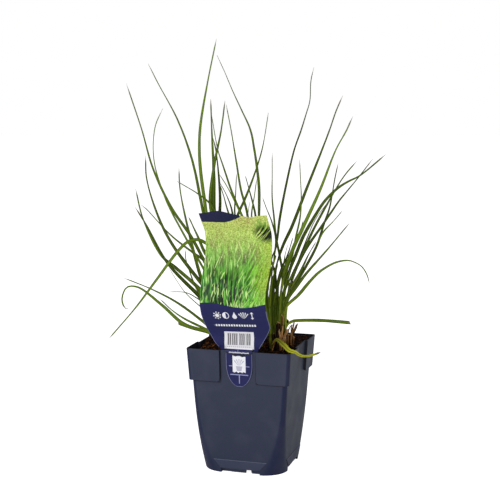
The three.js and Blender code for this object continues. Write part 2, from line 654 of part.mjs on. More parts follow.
// Heights, and how far the left and right edges of the label are from its middle there. The
// right one has a sharp shoulder, the left one a rounded one.
const labelEdges = [
  [130, 19, 18.5], [139, 26, 24.5], [148, 30.5, 30], [157, 33, 35], [168, 34.3, 34.5], [180, 34.5, 34.5],
];

function labelEdgesAt(z) {
  const above = labelEdges.findIndex(([height]) => height > z);
  if (above === -1) return labelEdges.at(-1).slice(1);
  const [lowZ, ...low] = labelEdges[Math.max(0, above - 1)];
  const [highZ, ...high] = labelEdges[above];
  const part = THREE.MathUtils.clamp((z - lowZ) / (highZ - lowZ), 0, 1);
  return [0, 1].map((edge) => THREE.MathUtils.lerp(low[edge], high[edge], part));
}

const sameBothSides = (half) => [half, half];

function tongueEdgesAt(z) {
  const down = THREE.MathUtils.clamp((z - 93) / (116 - 93), 0.02, 1);
  return sameBothSides((TONGUE_WIDTH / 2) * Math.sqrt(1 - Math.pow(1 - down, 2)));
}

// The belly of the label is turned a little: its right edge stands further forward.
const labelTurnAt = (z) => -3.5 * Math.exp(-Math.pow((z - 192) / 17, 2));

// The top edge rises in an arch over the left part and dips before the right corner.
function topEdgeLift(across) {
  const x = across * (LABEL_WIDTH / 2);
  const arch = 4.6 * Math.exp(-Math.pow((x + 15) / 12, 2));
  const dip = 3.2 * Math.exp(-Math.pow((x - 16) / 11, 2));
  return arch - dip;
}

// A thin sheet along a side view, thickness square to it, reaching as far both ways as edgesAt says.
function sheetSolid(side, edgesAt, thickness, columns, { liftAt = () => 0, turnAt = () => 0 } = {}) {
  const rings = side.map(([y, z], index) => {
    const before = side[Math.max(0, index - 1)];
    const after = side[Math.min(side.length - 1, index + 1)];
    const along = new THREE.Vector2(after[0] - before[0], after[1] - before[1]).normalize();
    const [leftEdge, rightEdge] = edgesAt(z);
    const ring = [];
    for (const face of [1, -1]) {
      for (let column = 0; column <= columns; column += 1) {
        const across = (face * (2 * column - columns)) / columns;
        const lift = index === 0 ? liftAt(across) : 0;
        const offset = (face * thickness) / 2;
        const point = new THREE.Vector3(
          LABEL_MIDDLE + across * (across < 0 ? leftEdge : rightEdge),
          y + across * turnAt(z) - along.y * offset - along.x * lift,
          z + along.x * offset - along.y * lift,
        );
        ring.push(point);
      }
    }
    return ring;
  });
  return loft(rings);
}

function makeLabel() {
  const shaping = { liftAt: topEdgeLift, turnAt: labelTurnAt };
  const body = sheetSolid(labelSide, labelEdgesAt, LABEL_THICKNESS, 8, shaping);
  const tongue = sheetSolid(tongueSide, tongueEdgesAt, LABEL_THICKNESS + 0.02, 2);
  const tailSide = [134, 95, 84].map((z) => [tailPlaneAt(z), z]);
  const pointSide = [85, STAKE_FOOT].map((z) => [tailPlaneAt(z), z]);
  const waist = sameBothSides(LABEL_WAIST / 2);
  const tail = sheetSolid(tailSide, () => waist, LABEL_THICKNESS, 1);
  const pointHalf = 5;
  const point = sheetSolid(
    pointSide,
    (z) => (z > STAKE_FOOT ? waist : sameBothSides(pointHalf)),
    LABEL_THICKNESS,
    1,
  );
  const slotHalf = TONGUE_WIDTH / 2 + 0.3;
  const slot = block(LABEL_MIDDLE - slotHalf, LABEL_MIDDLE + slotHalf, -60, -40, 95, 131.8);
  return union([body, tongue, tail.subtract(slot), point]);
}

// ---------------------------------------------------------------- the whole part

const part = new THREE.Group();

function addPiece(name, solid, material) {
  const mesh = new THREE.Mesh(geometryOf(solid), material);
  mesh.name = name;
  part.add(mesh);
}

addPiece("pot", makePot(), potPlastic);
addPiece("soil", makeSoil(), pottingMix);
addPiece("plant_label", makeLabel(), labelPlastic);
for (const [name, tiller] of Object.entries(tillers)) {
  addPiece(name, makeTiller(tiller), leafGreen);
}
for (const [name, stubble] of Object.entries(stubbles)) {
  addPiece(name, union(stalkSolids(stubble)), deadStraw);
}

export default part;
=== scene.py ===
# %% [markdown]
# # Switchgrass in a square nursery pot
# A young clump of switchgrass stands in a square plastic pot, with a printed plastic label
# hooked over the rim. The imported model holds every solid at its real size. This lesson dresses
# it: each leafy stem, the potting mix, the pot and the label get a finer piece in the same place.

import json
import math
import random
from functools import reduce

import bpy
from mathutils import Matrix, Vector, noise

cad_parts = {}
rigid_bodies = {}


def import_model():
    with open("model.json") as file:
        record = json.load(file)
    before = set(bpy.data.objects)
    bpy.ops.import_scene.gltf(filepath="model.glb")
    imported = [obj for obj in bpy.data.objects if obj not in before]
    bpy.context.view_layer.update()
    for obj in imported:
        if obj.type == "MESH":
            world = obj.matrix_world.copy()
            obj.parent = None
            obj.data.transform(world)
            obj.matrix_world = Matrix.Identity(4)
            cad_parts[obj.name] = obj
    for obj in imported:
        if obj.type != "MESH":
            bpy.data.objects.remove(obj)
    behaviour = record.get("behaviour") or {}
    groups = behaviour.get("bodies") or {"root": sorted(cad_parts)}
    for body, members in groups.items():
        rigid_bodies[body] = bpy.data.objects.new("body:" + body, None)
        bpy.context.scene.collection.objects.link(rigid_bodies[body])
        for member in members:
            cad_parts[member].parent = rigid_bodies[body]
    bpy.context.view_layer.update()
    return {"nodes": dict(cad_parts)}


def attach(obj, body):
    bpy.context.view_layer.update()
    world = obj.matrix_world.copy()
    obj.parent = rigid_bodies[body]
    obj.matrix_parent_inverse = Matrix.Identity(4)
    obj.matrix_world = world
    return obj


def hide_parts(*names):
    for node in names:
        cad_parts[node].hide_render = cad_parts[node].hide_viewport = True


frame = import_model()
print("packed nodes:", len(frame["nodes"]))

# %% [markdown]
# ## Working by hand in code
# Operators act on whatever is selected, so every step starts by clearing the selection and
# picking one piece. Sizes are written in millimetres, as on the real thing, and turned into
# metres where a corner is placed.

# %% Picking pieces and faces
MM = 0.001
MEETING = 0.001  # corners that lie this near to each other are one


def pick(*pieces):
    """Selects these pieces and nothing else, and makes the first one active."""
    bpy.ops.object.select_all(action="DESELECT")
    for piece in pieces:
        piece.select_set(True)
    bpy.context.view_layer.objects.active = pieces[0]


def open_for_edit(piece, kind, wanted):
    """Opens a piece in edit mode with only the wanted faces or edges selected."""
    pick(piece)
    bpy.ops.object.mode_set(mode="EDIT")
    bpy.ops.mesh.select_mode(type=kind)
    bpy.ops.mesh.select_all(action="DESELECT")
    bpy.ops.object.mode_set(mode="OBJECT")
    for element in piece.data.polygons if kind == "FACE" else piece.data.edges:
        element.select = wanted(element)
    bpy.ops.object.mode_set(mode="EDIT")


def close_edit():
    bpy.ops.object.mode_set(mode="OBJECT")


def tidy_normals(piece):
    """Merges corners that meet and turns every face outwards."""
    open_for_edit(piece, "FACE", lambda face: True)
    bpy.ops.mesh.remove_doubles(threshold=MEETING * MM)
    bpy.ops.mesh.normals_make_consistent(inside=False)
    close_edit()


def apply_modifier(piece, kind, **settings):
    pick(piece)
    modifier = piece.modifiers.new(kind.title(), kind)
    for key, value in settings.items():
        setattr(modifier, key, value)
    bpy.ops.object.modifier_apply(modifier=modifier.name)


def join_as(name, parts):
    """Joins parts into one piece of that name."""
    pick(*parts)
    if len(parts) > 1:
        bpy.ops.object.join()
    piece = bpy.context.object
    piece.name = name
    piece.data.name = name
    return piece


def copy_of(piece):
    """A copy with a mesh of its own."""
    copy = piece.copy()
    copy.data = piece.data.copy()
    bpy.context.collection.objects.link(copy)
    return copy


def give_material(piece, *materials):
    piece.data.materials.clear()
    for material in materials:
        piece.data.materials.append(material)


def write_attribute(piece, name, value):
    """Stores one number for every corner of a piece: the same one, or one from a list."""
    attribute = piece.data.attributes.new(name, "FLOAT", "POINT")
    count = len(piece.data.vertices)
    values = value if isinstance(value, list) else [value] * count
    attribute.data.foreach_set("value", values)


def part_way(low, high, value):
    """0 below low, 1 above high and an even rise between them."""
    return min(1, max(0, (value - low) / (high - low)))


def blend_step(low, high, value):
    """0 below low, 1 above high and a soft rise between them."""
    part = part_way(low, high, value)
    return part * part * (3 - 2 * part)


def mix(start, end, part):
    return start + (end - start) * part


print("one millimetre is", MM, "of Blender's metres")

# %% [markdown]
# ## Camera, floor and light
# The clump is looked at from a little above and a little to the right of the pot's front, through
# a long lens, so it hardly tapers. The floor is a plain pale sheet that glows white for the camera
# and throws only a little of that up at the plant. A broad lamp from the front left, a low one from
# the front, weaker ones from the right and from behind and a dim surround give soft light with dark
# sides to each blade. One strong sun would be simpler, but its shadows would be hard.

# %% Camera
PLANT_TURN = math.radians(16.7)
CAMERA_HEIGHT_ANGLE = math.radians(6.9)
CAMERA_DISTANCE = 1.15
AIM = Vector((-0.00259, -0.00078, 0.2262))

towards_camera = Vector((
    math.sin(PLANT_TURN) * math.cos(CAMERA_HEIGHT_ANGLE),
    -math.cos(PLANT_TURN) * math.cos(CAMERA_HEIGHT_ANGLE),
    math.sin(CAMERA_HEIGHT_ANGLE),
))
bpy.ops.object.camera_add(location=AIM + towards_camera * CAMERA_DISTANCE)
camera = bpy.context.object
camera.name = "studio_camera"
camera.rotation_euler = (-towards_camera).to_track_quat("-Z", "Y").to_euler()
camera.data.lens = 79.66
camera.data.sensor_width = 36
camera.data.clip_end = 20
bpy.context.scene.camera = camera
print("camera at", [round(part, 3) for part in camera.location])

# %% Floor
bpy.ops.mesh.primitive_plane_add(size=60, location=(0, 0, 0))
floor = bpy.context.object
floor.name = "studio_floor"
white_paper = bpy.data.materials.new("white_paper")
white_paper.use_nodes = True
paper = white_paper.node_tree.nodes["Principled BSDF"].inputs
paper["Base Color"].default_value = (0.8, 0.8, 0.8, 1)
paper["Roughness"].default_value = 0.8
paper["Emission Strength"].default_value = 0.93
paper_ray = white_paper.node_tree.nodes.new("ShaderNodeLightPath")
paper_glow = white_paper.node_tree.nodes.new("ShaderNodeMapRange")
paper_glow.inputs["To Min"].default_value = 0.2
white_paper.node_tree.links.new(paper_ray.outputs["Is Camera Ray"], paper_glow.inputs["Value"])
white_paper.node_tree.links.new(paper_glow.outputs[0], paper["Emission Color"])
floor.data.materials.append(white_paper)
print("floor:", floor.name)

# %% Lamps and surround


def add_lamp(name, place, size, power):
    """A square soft lamp that points at the middle of the plant."""
    bpy.ops.object.light_add(type="AREA", location=place)
    lamp = bpy.context.object
    lamp.name = name
    lamp.data.size = size
    lamp.data.energy = power
    lamp.rotation_euler = (AIM - Vector(place)).to_track_quat("-Z", "Y").to_euler()


add_lamp("key_lamp", (-0.8, -1.7, 1.1), 1.0, 19)
add_lamp("front_lamp", (0.25, -1.9, 0.2), 0.8, 7)
add_lamp("fill_lamp", (1.6, -0.7, 0.9), 0.9, 5)
add_lamp("back_lamp", (0.4, 1.6, 1.4), 1.0, 5)

surround = bpy.data.worlds.new("white_surround")
bpy.context.scene.world = surround
surround.use_nodes = True
sky_nodes = surround.node_tree.nodes
sky_links = surround.node_tree.links
seen = sky_nodes["Background"]
seen.inputs["Color"].default_value = (1, 1, 1, 1)
seen.inputs["Strength"].default_value = 1.0
lighting = sky_nodes.new("ShaderNodeBackground")
lighting.inputs["Color"].default_value = (0.95, 0.97, 1, 1)
lighting.inputs["Strength"].default_value = 0.22
ray = sky_nodes.new("ShaderNodeLightPath")
chooser = sky_nodes.new("ShaderNodeMixShader")
sky_links.new(ray.outputs["Is Camera Ray"], chooser.inputs[0])
sky_links.new(lighting.outputs[0], chooser.inputs[1])
sky_links.new(seen.outputs[0], chooser.inputs[2])
sky_links.new(chooser.outputs[0], sky_nodes["World Output"].inputs["Surface"])
bpy.context.scene.view_settings.view_transform = "Standard"

# %% [markdown]
# ## Building materials from shared node groups
# Each finish is a Principled shader with its own colours. What several finishes share is a node
# group: fine lines that run along a blade or a fibre, and a soft mottle with a grain. The nodes
# could be set out by hand in the shader editor. A small helper wires them here, so that a recipe
# reads as a list of steps. A mask is 1 where something shows and 0 elsewhere.

# %% A wiring helper


def srgb(red, green, blue):
    """A colour given as on screen, 0 to 255, turned into the linear values that shaders use."""
    def line(part):
        part /= 255
        return part / 12.92 if part <= 0.04045 else ((part + 0.055) / 1.055) ** 2.4
    return (line(red), line(green), line(blue), 1)


class Wiring:
    """Adds nodes to one tree and connects them. An input may be a number, a colour or a socket."""

    def __init__(self, tree):
        self.tree = tree

    def put(self, socket, value):
        if isinstance(value, bpy.types.NodeSocket):
            self.tree.links.new(value, socket)
        else:
            socket.default_value = value

    def add(self, kind, out=0, settings=None, **inputs):
        node = self.tree.nodes.new("ShaderNode" + kind)
        for key, value in (settings or {}).items():
            setattr(node, key, value)
        for key, value in inputs.items():
            self.put(node.inputs[key.replace("_", " ")], value)
        return node.outputs[out]

    def math(self, operation, *values):
        node = self.tree.nodes.new("ShaderNodeMath")
        node.operation = operation
        for socket, value in zip(node.inputs, values):
            self.put(socket, value)
        return node.outputs[0]

    def blend(self, first, second, part):
        """Goes from the first colour to the second."""
        node = self.tree.nodes.new("ShaderNodeMix")
        node.data_type = "RGBA"
        for socket, value in ((0, part), (6, first), (7, second)):
            self.put(node.inputs[socket], value)
        return node.outputs[2]

    def scale(self, value, from_low, from_high, to_low, to_high):
        node = self.tree.nodes.new("ShaderNodeMapRange")
        for socket, item in zip(node.inputs, (value, from_low, from_high, to_low, to_high)):
            self.put(socket, item)
        return node.outputs[0]

    def group(self, group, **inputs):
        node = self.tree.nodes.new("ShaderNodeGroup")
        node.node_tree = group
        for key, value in inputs.items():
            self.put(node.inputs[key.replace("_", " ")], value)
        return node.outputs

    def attribute(self, name):
        """A number that is stored on the corners of the mesh."""
        node = self.tree.nodes.new("ShaderNodeAttribute")
        node.attribute_name = name
        return node.outputs["Fac"]

    def split(self, vector):
        node = self.tree.nodes.new("ShaderNodeSeparateXYZ")
        self.put(node.inputs[0], vector)
        return node.outputs

    def bump(self, height, strength, distance_mm):
        return self.add("Bump", Height=height, Strength=strength, Distance=distance_mm * MM)


# %% Sums and masks


class Sums(Wiring):
    """Wiring with plain sums and with masks."""

    def plus(self, first, second):
        return self.math("ADD", first, second)

    def minus(self, first, second):
        return self.math("SUBTRACT", first, second)

    def times(self, first, second):
        return self.math("MULTIPLY", first, second)

    def absolute(self, value):
        return self.math("ABSOLUTE", value)

    def distance(self, x, y):
        return self.math("SQRT", self.plus(self.times(x, x), self.times(y, y)))

    def more(self, value, limit):
        return self.math("GREATER_THAN", value, limit)

    def less(self, value, limit):
        return self.math("LESS_THAN", value, limit)

    def in_range(self, value, low, high):
        return self.math("COMPARE", value, (low + high) / 2, (high - low) / 2)

    def stripes(self, value, pitch, filled):
        """Even stripes: filled is the share of each pitch that they take."""
        return self.less(self.math("FRACT", self.math("DIVIDE", value, pitch)), filled)

    def both(self, *masks):
        """1 where all the masks are 1."""
        return reduce(self.times, masks)

    def either(self, *masks):
        """1 where one of the masks is 1."""
        return reduce(lambda one, other: self.math("MAXIMUM", one, other), masks)


# %% New groups and materials


def new_group(name, inputs, outputs):
    """An empty node group with named float or vector sockets, and its wiring helper."""
    group = bpy.data.node_groups.new(name, "ShaderNodeTree")
    for in_out, sockets in (("INPUT", inputs), ("OUTPUT", outputs)):
        for label, (kind, value) in sockets.items():
            socket = group.interface.new_socket(label, in_out=in_out, socket_type="NodeSocket" + kind)
            if in_out == "INPUT" and value is not None:
                socket.default_value = value
    start = group.nodes.new("NodeGroupInput")
    end = group.nodes.new("NodeGroupOutput")
    return group, Sums(group), start.outputs, end.inputs


def new_material(name):
    """A material with its Principled shader and its wiring helper."""
    material = bpy.data.materials.new(name)
    material.use_nodes = True
    shader = material.node_tree.nodes["Principled BSDF"]
    return material, Sums(material.node_tree), shader.inputs


# %% Lines along a blade or fibre
along_lines, w, given, result = new_group(
    "lines_along",
    {"Place": ("Vector", None), "Lines across": ("Float", 30.0), "Length share": ("Float", 1.5)},
    {"Lines": ("Float", None), "Patches": ("Float", None)},
)
parts = w.split(given["Place"])
stretched = w.add(
    "CombineXYZ",
    X=w.times(parts[0], given["Lines across"]),
    Y=w.times(parts[1], given["Length share"]),
    Z=w.attribute("tone"),
)
w.put(result["Lines"], w.add("TexNoise", Vector=stretched, Scale=1.0, Detail=3.0, Roughness=0.6))
long_patches = w.add("CombineXYZ", X=w.times(w.attribute("tone"), 40.0), Y=w.times(parts[1], 0.55))
w.put(result["Patches"], w.add("TexNoise", Vector=long_patches, Scale=1.0, Detail=2.0))
print("node group:", along_lines.name)

# %% Soft mottle with a grain
mottle, w, given, result = new_group(
    "mottle_and_grain",
    {"Patch size mm": ("Float", 20.0), "Grain size mm": ("Float", 0.6)},
    {"Patches": ("Float", None), "Grain": ("Float", None)},
)
place = w.add("TexCoord", out="Object")
for label, size, detail in (("Patches", "Patch size mm", 3.0), ("Grain", "Grain size mm", 2.0)):
    per_metre = w.math("DIVIDE", 1 / MM, given[size])
    w.put(result[label], w.add("TexNoise", Vector=place, Scale=per_metre, Detail=detail))
print("node group:", mottle.name)

# %% [markdown]
# ## Leaf and straw finishes
# A living blade is dark olive green with a paler midrib and fine veins, yellow-green where it leaves
# the stem, and grey and dry at the tip; its margins are darkened as painted shade. A yellowing leaf
# shows its fold as a dark line. Dead sheaths go through straw to brown. Each could have a recipe of its
# own, but one serves all: the numbers stored on the mesh say how old each place is, and only the
# colours differ.

# %% Leaf and straw recipe


def blade_finish(name, deep, bright, young, dead, dry_tip, shine, fold=None):
    """A finish with veins along the blade, driven by the numbers stored on the piece."""
    material, w, shader = new_material(name)
    place = w.add("UVMap", settings={"uv_map": "UVMap"})
    lines = w.group(along_lines, Place=place, Lines_across=26.0, Length_share=1.2)
    lightness = w.plus(w.times(lines["Lines"], 0.6), w.times(w.attribute("tone"), 0.85))
    lightness = w.plus(lightness, w.times(lines["Patches"], 0.5))
    colour = w.blend(deep, bright, w.scale(lightness, 0.4, 1.4, 0.12, 1.0))
    age = w.attribute("age")
    colour = w.blend(colour, young, w.scale(age, 0.05, 0.5, 0.0, 0.9))
    colour = w.blend(colour, dead, w.scale(age, 0.55, 0.95, 0.0, 1.0))
    from_middle = w.absolute(w.minus(w.split(place)[0], 0.5))
    colour = w.blend(colour, young, w.scale(from_middle, 0.03, 0.075, 0.3, 0.0))
    if fold:
        colour = w.blend(colour, fold, w.scale(from_middle, 0.05, 0.13, 0.85, 0.0))
    # Painted shade: the margins are darkened towards the deep colour.
    colour = w.blend(colour, deep, w.scale(from_middle, 0.3, 0.5, 0.0, 0.6))
    uneven = w.times(w.minus(lines["Lines"], 0.5), 0.5)
    dryness = w.plus(w.attribute("dry"), uneven)
    colour = w.blend(colour, dry_tip, w.scale(dryness, 0.35, 0.8, 0.0, 1.0))
    w.put(shader["Base Color"], colour)
    w.put(shader["Roughness"], w.scale(lines["Lines"], 0.3, 0.7, shine, shine + 0.2))
    w.put(shader["Normal"], w.bump(lines["Lines"], 0.5, 0.12))
    shader["Specular IOR Level"].default_value = 0.12
    return material


living_blade = blade_finish(
    "living_blade",
    deep=srgb(16, 36, 2), bright=srgb(106, 133, 30), young=srgb(150, 168, 46),
    dead=srgb(84, 56, 26), dry_tip=srgb(122, 118, 100), shine=0.46,
)
yellowing_blade = blade_finish(
    "yellowing_blade",
    deep=srgb(156, 158, 22), bright=srgb(214, 212, 76), young=srgb(204, 192, 84),
    dead=srgb(130, 104, 40), dry_tip=srgb(92, 86, 48), shine=0.44, fold=srgb(62, 66, 18),
)
dead_straw = blade_finish(
    "dead_straw",
    deep=srgb(44, 22, 8), bright=srgb(240, 186, 122), young=srgb(160, 108, 54),
    dead=srgb(26, 12, 5), dry_tip=srgb(196, 158, 110), shine=0.6,
)
print("blade finishes: 3")

# %% [markdown]
# ## Curves that the blades follow
# A grass blade is a long strip bent through the air. The Curve modifier could bend a strip along
# a drawn curve, but here each blade has to lie just where its solid lies and twist as it does, so
# the strip's corners are placed by a formula: a smooth curve through a few points, walked at an
# even pace. Points are given as across, away and up in the clump's own directions.

# %% Directions of the clump
AWAY = Vector((-math.sin(PLANT_TURN), math.cos(PLANT_TURN), 0))


def in_pot(point):
    """Turns a point of the clump into the pot's own directions."""
    across, away, height = point
    turned = Matrix.Rotation(PLANT_TURN, 3, "Z") @ Vector((across, away, 0))
    return Vector((turned.x, turned.y, height))


print("the clump stands turned by", round(math.degrees(PLANT_TURN), 1), "degrees in its pot")

# %% A smooth curve walked at an even pace


class SmoothCurve:
    """A curve through points that doesn't overshoot where they lie unevenly."""

    STEPS = 24

    def __init__(self, points, place=in_pot):
        points = [place(point) for point in points]
        fixed = [points[0] * 2 - points[1], *points, points[-1] * 2 - points[-2]]
        self.trail = []
        for first, start, end, last in zip(fixed, fixed[1:], fixed[2:], fixed[3:]):
            self.trail += self.span(first, start, end, last)
        self.trail.append(points[-1])
        self.reached = [0.0]
        for before, after in zip(self.trail, self.trail[1:]):
            self.reached.append(self.reached[-1] + (after - before).length)
        self.length = self.reached[-1]

    def span(self, first, start, end, last):
        pairs = ((first, start), (start, end), (end, last))
        before, gap, after = (math.sqrt((b - a).length) for a, b in pairs)
        direct = (end - start) / gap
        leave = (start - first) / before - (end - first) / (before + gap) + direct
        arrive = direct - (last - start) / (gap + after) + (last - end) / after
        leave *= gap
        arrive *= gap
        places = []
        for step in range(self.STEPS):
            t = step / self.STEPS
            square = (end - start) * 3 - leave * 2 - arrive
            cube = (start - end) * 2 + leave + arrive
            places.append(start + leave * t + square * t * t + cube * t ** 3)
        return places

    def at(self, share):
        """The place at that share of the length, and the direction of travel there."""
        wanted = min(max(share, 0), 1) * self.length
        index = 0
        while index + 2 < len(self.reached) and self.reached[index + 1] < wanted:
            index += 1
        run = self.reached[index + 1] - self.reached[index]
        part = (wanted - self.reached[index]) / run
        here = self.trail[index].lerp(self.trail[index + 1], part)
        before = self.trail[max(0, index - 1)]
        after = self.trail[min(len(self.trail) - 1, index + 2)]
        return here, (after - before).normalized()


def blade_directions(along, turn):
    """The blade's across and up directions: a turn of 0 shows its whole width from the front."""
    flat = AWAY.cross(along).normalized()
    across = Matrix.Rotation(turn, 3, along) @ flat
    return across, along.cross(across)


# %% [markdown]
# ## One leaf
# On the plant a leaf is a strip about 4 mm wide, folded along a raised midrib, channelled where
# it clasps the stem and tapering to a hair. It could be drawn as a flat card, but a card has no
# fold and no thickness. Here a grid is added, its rows are laid along the curve, each with a
# folded and slightly waved profile, and Solidify gives it the thickness, thin at the margins.

# %% Strips and the width of a leaf
ROOT_WIDENS = 1.6  # how fast a leaf reaches its full width from its root
POINT_FROM = 0.955  # the share of the length where the last point begins
TIP_WIDTH = 0.32


def add_strip(columns, rows):
    """A flat grid from -1 to 1 both ways, which comes with a map of across and along."""
    bpy.ops.object.select_all(action="DESELECT")
    bpy.ops.mesh.primitive_grid_add(x_subdivisions=columns, y_subdivisions=rows, size=2)
    return bpy.context.object


def leaf_width_at(share, is_cut, root_width):
    """A leaf is narrow at its root, widest a third of the way and fine at its tip."""
    root = min(1, root_width + share * ROOT_WIDENS)
    if is_cut:
        return root
    point = max(0.05, 1 - blend_step(POINT_FROM, 1, share))
    return root * max(TIP_WIDTH, 1 - share * share) * point


def natural_turn(curve):
    """The turn at which a blade's hollow side faces the stem that it leaves."""
    here, along = curve.at(0.02)
    outward = curve.at(0.3)[0] - here
    inward = Vector((-outward.x, -outward.y, outward.length * 0.4))
    inward = (inward - along * inward.dot(along)).normalized()
    across, up = blade_directions(along, 0)
    return math.atan2(-inward.dot(across), inward.dot(up))


print("half-way along, a leaf has", leaf_width_at(0.5, False, 0.65), "of its full width")

# %% Rows of a leaf
RIPPLE = 0.12  # how far a blade turns to and fro, in radians
CURL_AT_STEM = 2.1  # how closely a blade clasps its stem, in radians to each side
CURL_OF_BLADE = 0.42
CLASPS_UP_TO = 0.16  # the share of the length over which the clasp opens


def leaf_rows(plan, curve, rows, wave_start):
    """Place, directions, half width and curl of each row of a leaf, from its root to its tip."""
    rooted = natural_turn(curve)
    lean = math.remainder(math.radians(plan["turn"]) - rooted, math.pi)
    twist = math.radians(plan["twist"])
    laid = []
    for row in range(rows + 1):
        share = row / rows
        here, along = curve.at(share)
        freed = blend_step(0, 0.1, share)
        ripple = RIPPLE * noise.noise(Vector((wave_start, share * 7, 0)))
        across, up = blade_directions(along, rooted + lean * freed + twist * share + ripple)
        half = plan["width"] / 2 * leaf_width_at(share, plan["is_cut"], plan["root_width"])
        curl = mix(CURL_AT_STEM, CURL_OF_BLADE, blend_step(0, CLASPS_UP_TO, share))
        laid.append((here, along, across, up, half, curl, share))
    return laid


# %% Bending a leaf
LEAF_COLUMNS = 6
FOLD = 0.1  # how far each margin rises for the fold, as a share of the half width
MARGIN_WAVE = 0.22
TORN_SLANT = 0.9  # of a cut end
TORN_EDGE = 0.8
CUT_DRIES_FROM = 0.93
YOUNG_AT_ROOT = (0.28, 0.5)  # how yellow a leaf is where it leaves the stem
YOUNG_FADES = (6, 46)  # along the leaf, from its root
LOW_LEAVES = (150, 250)  # heights between which leaves stop being yellow at the root
THIN_MARGIN = 0.75  # the share of the thickness that is lost towards the margins


def bend_leaf(plan, draw, rows_per_mm=0.28):
    """One leaf as its own mesh. draw gives its small chances, such as waves and tone."""
    curve = SmoothCurve(plan["points"])
    rows = max(14, round(curve.length * rows_per_mm))
    strip = add_strip(LEAF_COLUMNS, rows)
    tone = draw.random()
    wave_start = draw.uniform(0, 9)
    tip_length = draw.uniform(0.04, 0.16)
    laid = leaf_rows(plan, curve, rows, wave_start)
    ages, dry = [], []
    for vertex in strip.data.vertices:
        side = vertex.co.x
        here, along, across, up, half, curl, share = laid[round((vertex.co.y + 1) / 2 * rows)]
        sideways = half * math.sin(curl * side) / curl
        raised = half * (1 - math.cos(curl * side)) / curl + half * FOLD * abs(side)
        edge = abs(side) ** 3
        waved = noise.noise(Vector((side * 2, share * curve.length / 9, wave_start)))
        raised += edge * MARGIN_WAVE * min(1, half) * waved
        ahead = 0.0
        if plan["is_cut"]:
            torn = TORN_EDGE * noise.noise(Vector((side * 3, 5, tone * 9)))
            ahead = blend_step(0.9, 1, share) * (TORN_SLANT * side + torn)
        vertex.co = (here + across * sideways + up * raised + along * ahead) * MM
        base = 1 - blend_step(*YOUNG_FADES, share * curve.length)
        low_down = 1 - blend_step(*LOW_LEAVES, here.z)
        ages.append(base * mix(*YOUNG_AT_ROOT, tone) * low_down + plan["age"])
        dries_from = CUT_DRIES_FROM if plan["is_cut"] else 1 - tip_length
        dry.append(blend_step(dries_from, 1, share))
    for name, value in (("tone", tone), ("age", ages), ("dry", dry)):
        write_attribute(strip, name, value)
    rib = strip.vertex_groups.new(name="rib")
    for vertex in range(len(strip.data.vertices)):
        side = abs(vertex % (LEAF_COLUMNS + 1) - LEAF_COLUMNS / 2) / (LEAF_COLUMNS / 2)
        rib.add([vertex], 1 - THIN_MARGIN * side, "REPLACE")
    apply_modifier(
        strip, "SOLIDIFY", thickness=plan["thickness"] * MM, offset=0, vertex_group="rib",
        thickness_vertex_group=0.2, use_even_offset=False,
    )
    return strip


# %% [markdown]
# ## One stem
# A switchgrass stem is wrapped in leaf sheaths, one out of another, so it is a tube that gets a
# step thinner at every collar where a blade leaves. It is rolled from the same strip: the grid's
# two long edges meet round the curve and are merged, and the open ends are filled.

# %% Rolling a tube


def roll_tube(curve, radius_at, sides, rows, colours_at, cap=True, slant=0.0):
    """A strip rolled round a curve into a tube. Its ends are filled, or cut at a slant and open."""
    tube = add_strip(sides, rows)
    laid = []
    for row in range(rows + 1):
        share = row / rows
        here, along = curve.at(share)
        laid.append((here, along, *blade_directions(along, 0), radius_at(share)))
    tones, ages, dry = [], [], []
    for vertex in tube.data.vertices:
        row = round((vertex.co.y + 1) / 2 * rows)
        here, along, across, up, radius = laid[row]
        angle = vertex.co.x * math.pi
        ahead = slant * math.sin(angle) * blend_step(0.8, 1, row / rows)
        round_it = across * radius * math.sin(angle) - up * radius * math.cos(angle)
        vertex.co = (here + round_it + along * ahead) * MM
        tone, age, dried = colours_at(row / rows, here.z, angle)
        tones.append(tone)
        ages.append(age)
        dry.append(dried)
    for name, values in (("tone", tones), ("age", ages), ("dry", dry)):
        write_attribute(tube, name, values)
    tidy_normals(tube)
    if cap:
        open_for_edit(tube, "EDGE", lambda edge: False)
        bpy.ops.mesh.select_mode(type="VERT")
        bpy.ops.mesh.select_non_manifold()
        bpy.ops.mesh.edge_face_add()
        close_edit()
    return tube


# %% Rolling a stem
STEM_SIDES = 12
STEM_ROW = 2.2  # length of stem between two rows
STEM_TAPER = 0.5
SHEATH_STEP = (0.9, 1.04)  # from no sheath about the stem to all of them
COLLAR_REACH = 3
PALE_FOOT = (125, 190)  # heights between which a stem's pale foot ends
BROWN_FOOT = (124, 160)


def roll_stem(plan, collars, draw):
    """A stem whose sheaths end at the collars, given as heights."""
    curve = SmoothCurve(plan["path"])
    tone = draw.uniform(0.35, 0.95)
    seam = draw.uniform(-3, 3)
    browning = draw.uniform(0.2, 0.9)

    def radius_at(share):
        height = curve.at(share)[0].z
        steps = sum(1 for collar in collars if height < collar)
        sheathed = mix(*SHEATH_STEP, steps / (len(collars) + 1))
        return plan["radius"] * (1 - STEM_TAPER * share) * sheathed

    def colours_at(share, height, angle):
        nearest = min((abs(height - collar) for collar in collars), default=COLLAR_REACH)
        age = 0.42 * (1 - blend_step(*PALE_FOOT, height))
        age += 0.3 * max(0, 1 - nearest / COLLAR_REACH)
        age += browning * (1 - blend_step(*BROWN_FOOT, height)) + 0.16 * math.cos(angle - seam)
        return tone, age, 0.0

    rows = round(curve.length / STEM_ROW)
    return roll_tube(curve, radius_at, STEM_SIDES, rows, colours_at)


# %% [markdown]
# ## The leafy stems
# The clump has twenty-three leafy stems. Each is given as its stem and its leaves, from the lowest
# up: width, turn and twist of the blade, and the points that it passes through. Some leaves were
# cut back and end bluntly.

# %% Ways to write a stem and a leaf
ROOTED_AT = 108
STRAIGHT_RISES = (0, 9, 19)


